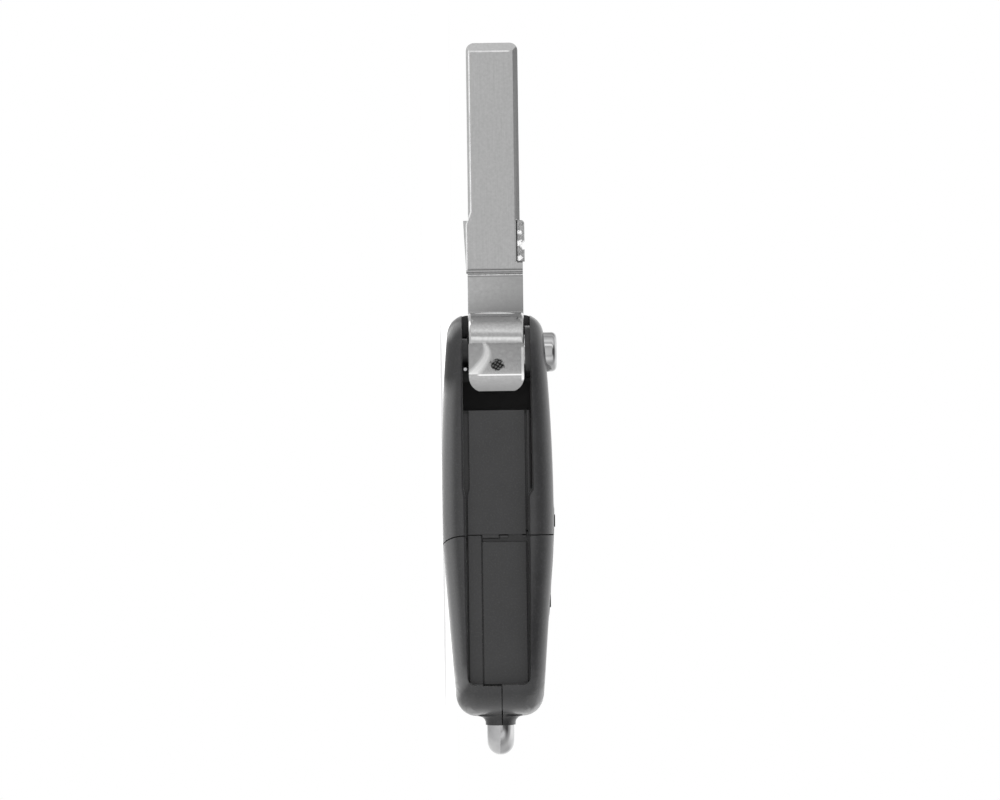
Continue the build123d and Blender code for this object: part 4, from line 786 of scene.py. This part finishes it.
table = {
    "size": 0.4, "drop": 0.02 * mm, "colour": "#b8b8b8", "rough": 0.9,
    "glow": 0.75,  # added for the camera, which brings the table to white
    "farShine": 0.55, "nearShine": 2.6,  # what shiny surfaces see away from the case and under it
    "nearX": (-1 * mm, 50 * mm), "nearY": 17.5 * mm, "fade": 3 * mm,
    "stripShine": 1.6, "stripX": -10 * mm, "stripFade": 2 * mm, "stripY": -13 * mm, "stripHalf": 2.2 * mm,
}

# Brightness that shiny surfaces see, by degrees away from straight in front of the object's slot side
tent = {
    "tipSide": {0: 1.0, 15: 1.0, 28: 0.75, 33: 1.0, 38: 1.75, 43: 1.75, 48: 0.87, 55: 0.87, 64: 1.44, 77: 1.12,
                92: 0.81, 101: 0.62, 111: 0.94, 124: 0.57, 136: 0.57, 155: 1.6, 180: 1.25},
    "ringSide": {0: 1.0, 15: 1.0, 26: 0.81, 32: 1.22, 44: 1.3, 53: 0.95, 63: 0.65, 76: 0.62, 92: 0.85,
                 133: 0.85, 155: 1.25, 180: 1.25},
    "buttonSide": {0: 1.0, 12: 0.94, 22: 0.25, 50: 0.1, 62: 0.12, 72: 0.48, 85: 0.75, 100: 1.5, 125: 1.6,
                   150: 1.3, 180: 1.25},
}
tentPeak = 2.0  # a colour ramp ends at 1, so the levels are halved in it
tentSoft = 0.65  # the tent's level for the light on everything that isn't shiny


def makeFloor():
    bm = bmesh.new()
    bmesh.ops.create_grid(bm, x_segments=1, y_segments=1, size=table["size"] / 2)
    mesh = bpy.data.meshes.new("floor")
    bm.to_mesh(mesh)
    bm.free()
    floor = bpy.data.objects.new("floor", mesh)
    scene.collection.objects.link(floor)
    floor.location.z = -table["drop"]
    material, tree, shader, place = startMaterial("paleFloor", {
        "Base Color": linearColour(table["colour"]), "Roughness": table["rough"]})
    axes = addNode(tree, "SeparateXYZ", links={0: place}).outputs
    startX, endX = table["nearX"]
    fromMiddle = addNode(tree, "Math", {"operation": "SUBTRACT", 1: (startX + endX) / 2}, {0: axes["X"]})
    offX = addNode(tree, "Math", absolute, {0: fromMiddle})
    outX = addNode(tree, "Math", {"operation": "SUBTRACT", 1: (endX - startX) / 2}, {0: offX})
    offY = addNode(tree, "Math", absolute, {0: axes["Y"]})
    outY = addNode(tree, "Math", {"operation": "SUBTRACT", 1: table["nearY"]}, {0: offY})
    outside = addNode(tree, "Math", maximum, {0: outX, 1: outY})
    nearAndFar = addNode(tree, "MapRange", {"From Min": 0, "From Max": table["fade"],
                                            "To Min": table["nearShine"], "To Max": table["farShine"]},
                         {"Value": outside})
    fromStrip = addNode(tree, "Math", {"operation": "SUBTRACT", 1: table["stripY"]}, {0: axes["Y"]})
    offStrip = addNode(tree, "Math", absolute, {0: fromStrip})
    stripHalf = table["stripHalf"]
    acrossStrip = addNode(tree, "MapRange", {"From Min": stripHalf, "From Max": 1.5 * stripHalf,
                                             "To Min": table["stripShine"], "To Max": 0}, {"Value": offStrip})
    alongStrip = addNode(tree, "MapRange", {"From Min": table["stripX"] - table["stripFade"],
                                            "From Max": table["stripX"], **falling}, {"Value": axes["X"]})
    strip = addNode(tree, "Math", multiply, {0: acrossStrip, 1: alongStrip})
    shine = addNode(tree, "Math", add, {0: nearAndFar, 1: strip})
    path = addNode(tree, "LightPath").outputs
    seen = addNode(tree, "Math", maximum, {0: path["Is Camera Ray"], 1: path["Is Transmission Ray"]})
    forCamera = addNode(tree, "Math", {**multiply, 1: table["glow"]}, {0: seen})
    forGloss = addNode(tree, "Math", multiply, {0: path["Is Glossy Ray"], 1: shine})
    strength = addNode(tree, "Math", add, {0: forCamera, 1: forGloss})
    glow = addNode(tree, "Emission", links={"Strength": strength})
    both = addNode(tree, "AddShader", links={0: shader, 1: glow})
    linkInputs(tree, tree.nodes["Material Output"], {"Surface": both})
    floor.data.materials.append(material)


def makeRoom():
    world = bpy.data.worlds.new("lightTent")
    scene.world = world
    world.use_nodes = True
    tree = world.node_tree
    direction = addNode(tree, "TexCoord").outputs["Generated"]
    axes = addNode(tree, "SeparateXYZ", links={0: direction}).outputs
    away = addNode(tree, "MapRange", {"From Min": -1}, {"Value": axes["Y"]})
    sides = {}
    for side, levels in tent.items():
        stops = [((1 - math.cos(math.radians(degrees))) / 2, level / tentPeak)
                 for degrees, level in levels.items()]
        sides[side] = addNode(tree, "ValToRGB", {"stops": stops}, {"Fac": away})
    towardsRing = addNode(tree, "MapRange", {"From Min": -0.05, "From Max": 0.05}, {"Value": axes["X"]})
    alongX = addNode(tree, "Mix", {"data_type": "RGBA"},
                     {0: towardsRing, 6: sides["tipSide"], 7: sides["ringSide"]}).outputs[2]

    # The share of up or down in a direction, once its part in Y is taken out
    squareY = addNode(tree, "Math", multiply, {0: axes["Y"], 1: axes["Y"]})
    squareZ = addNode(tree, "Math", multiply, {0: axes["Z"], 1: axes["Z"]})
    lessOne = addNode(tree, "Math", {"operation": "SUBTRACT", 1: 1.001}, {0: squareY})
    sideways = addNode(tree, "Math", {**multiply, 1: -1}, {0: lessOne})
    upward = addNode(tree, "Math", {"operation": "DIVIDE"}, {0: squareZ, 1: sideways})
    mostlyUp = addNode(tree, "MapRange", {"From Min": 0.35, "From Max": 0.9}, {"Value": upward})
    around = addNode(tree, "Mix", {"data_type": "RGBA"},
                     {0: mostlyUp, 6: alongX, 7: sides["buttonSide"]}).outputs[2]
    level = addNode(tree, "Math", {**multiply, 1: tentPeak}, {0: around})

    path = addNode(tree, "LightPath").outputs
    forGloss = addNode(tree, "Mix", {2: tentSoft}, {0: path["Is Glossy Ray"], 3: level})
    seen = addNode(tree, "Math", maximum, {0: path["Is Camera Ray"], 1: path["Is Transmission Ray"]})
    forCamera = addNode(tree, "Mix", {3: 1.0}, {0: seen, 2: forGloss})
    background = tree.nodes["Background"]
    background.inputs["Color"].default_value = (1, 1, 1, 1)
    linkInputs(tree, background, {"Strength": forCamera})


lamps = {  # place in metres, width and height in metres, power in watts
    "keyLamp": ((-0.64, -0.77, 0.24), (0.12, 0.5), 2.2),
    "fillLamp": ((0.75, -0.7, 0.45), (0.5, 0.5), 2.2),
    "topLamp": ((-0.05, -0.35, 0.9), (0.6, 0.25), 2.4),
    "backLamp": ((0.1, 0.6, 0.8), (0.7, 0.7), 3.0),
}
lampTarget = Vector((0, 0, 0.01))


def makeLamp(name, place, size, power):
    light = bpy.data.lights.new(name, "AREA")
    light.shape = "RECTANGLE"
    light.size, light.size_y = size
    light.energy = power
    lamp = bpy.data.objects.new(name, light)
    scene.collection.objects.link(lamp)
    lamp.visible_glossy = False  # shiny surfaces see the tent instead
    lamp.location = place
    lamp.rotation_euler = (lampTarget - Vector(place)).to_track_quat("-Z", "Y").to_euler()


# The photograph's frame: its width at the object in metres, the pixel that the pivot falls on and its lean
photo = {"width": 1000, "height": 800, "scale": 0.172 * mm, "pivotX": 495.7, "pivotY": 352.6,
         "leanDegrees": 0.78, "distance": 1.0, "sensor": 36.0}


def makeCamera():
    lean = math.radians(photo["leanDegrees"])
    right = Vector((math.sin(lean), 0, math.cos(lean)))
    up = Vector((-math.cos(lean), 0, math.sin(lean)))
    across = (photo["width"] / 2 - photo["pivotX"]) * photo["scale"]
    down = (photo["height"] / 2 - photo["pivotY"]) * photo["scale"]
    target = Vector((pivot.x, 0, midZ)) + right * across - up * down
    data = bpy.data.cameras.new("photoCamera")
    data.sensor_width = photo["sensor"]
    data.lens = photo["sensor"] * (photo["distance"] + bladeY) / (photo["width"] * photo["scale"])
    data.clip_start = 0.05
    data.clip_end = 20
    camera = bpy.data.objects.new("photoCamera", data)
    scene.collection.objects.link(camera)
    camera.matrix_world = Matrix((
        (right.x, up.x, 0, target.x),
        (right.y, up.y, -1, -photo["distance"]),
        (right.z, up.z, 0, target.z),
        (0, 0, 0, 1),
    ))
    scene.camera = camera


makeFloor()
makeRoom()
for lampName, (place, size, power) in lamps.items():
    makeLamp(lampName, place, size, power)
makeCamera()
print("studio and camera made")
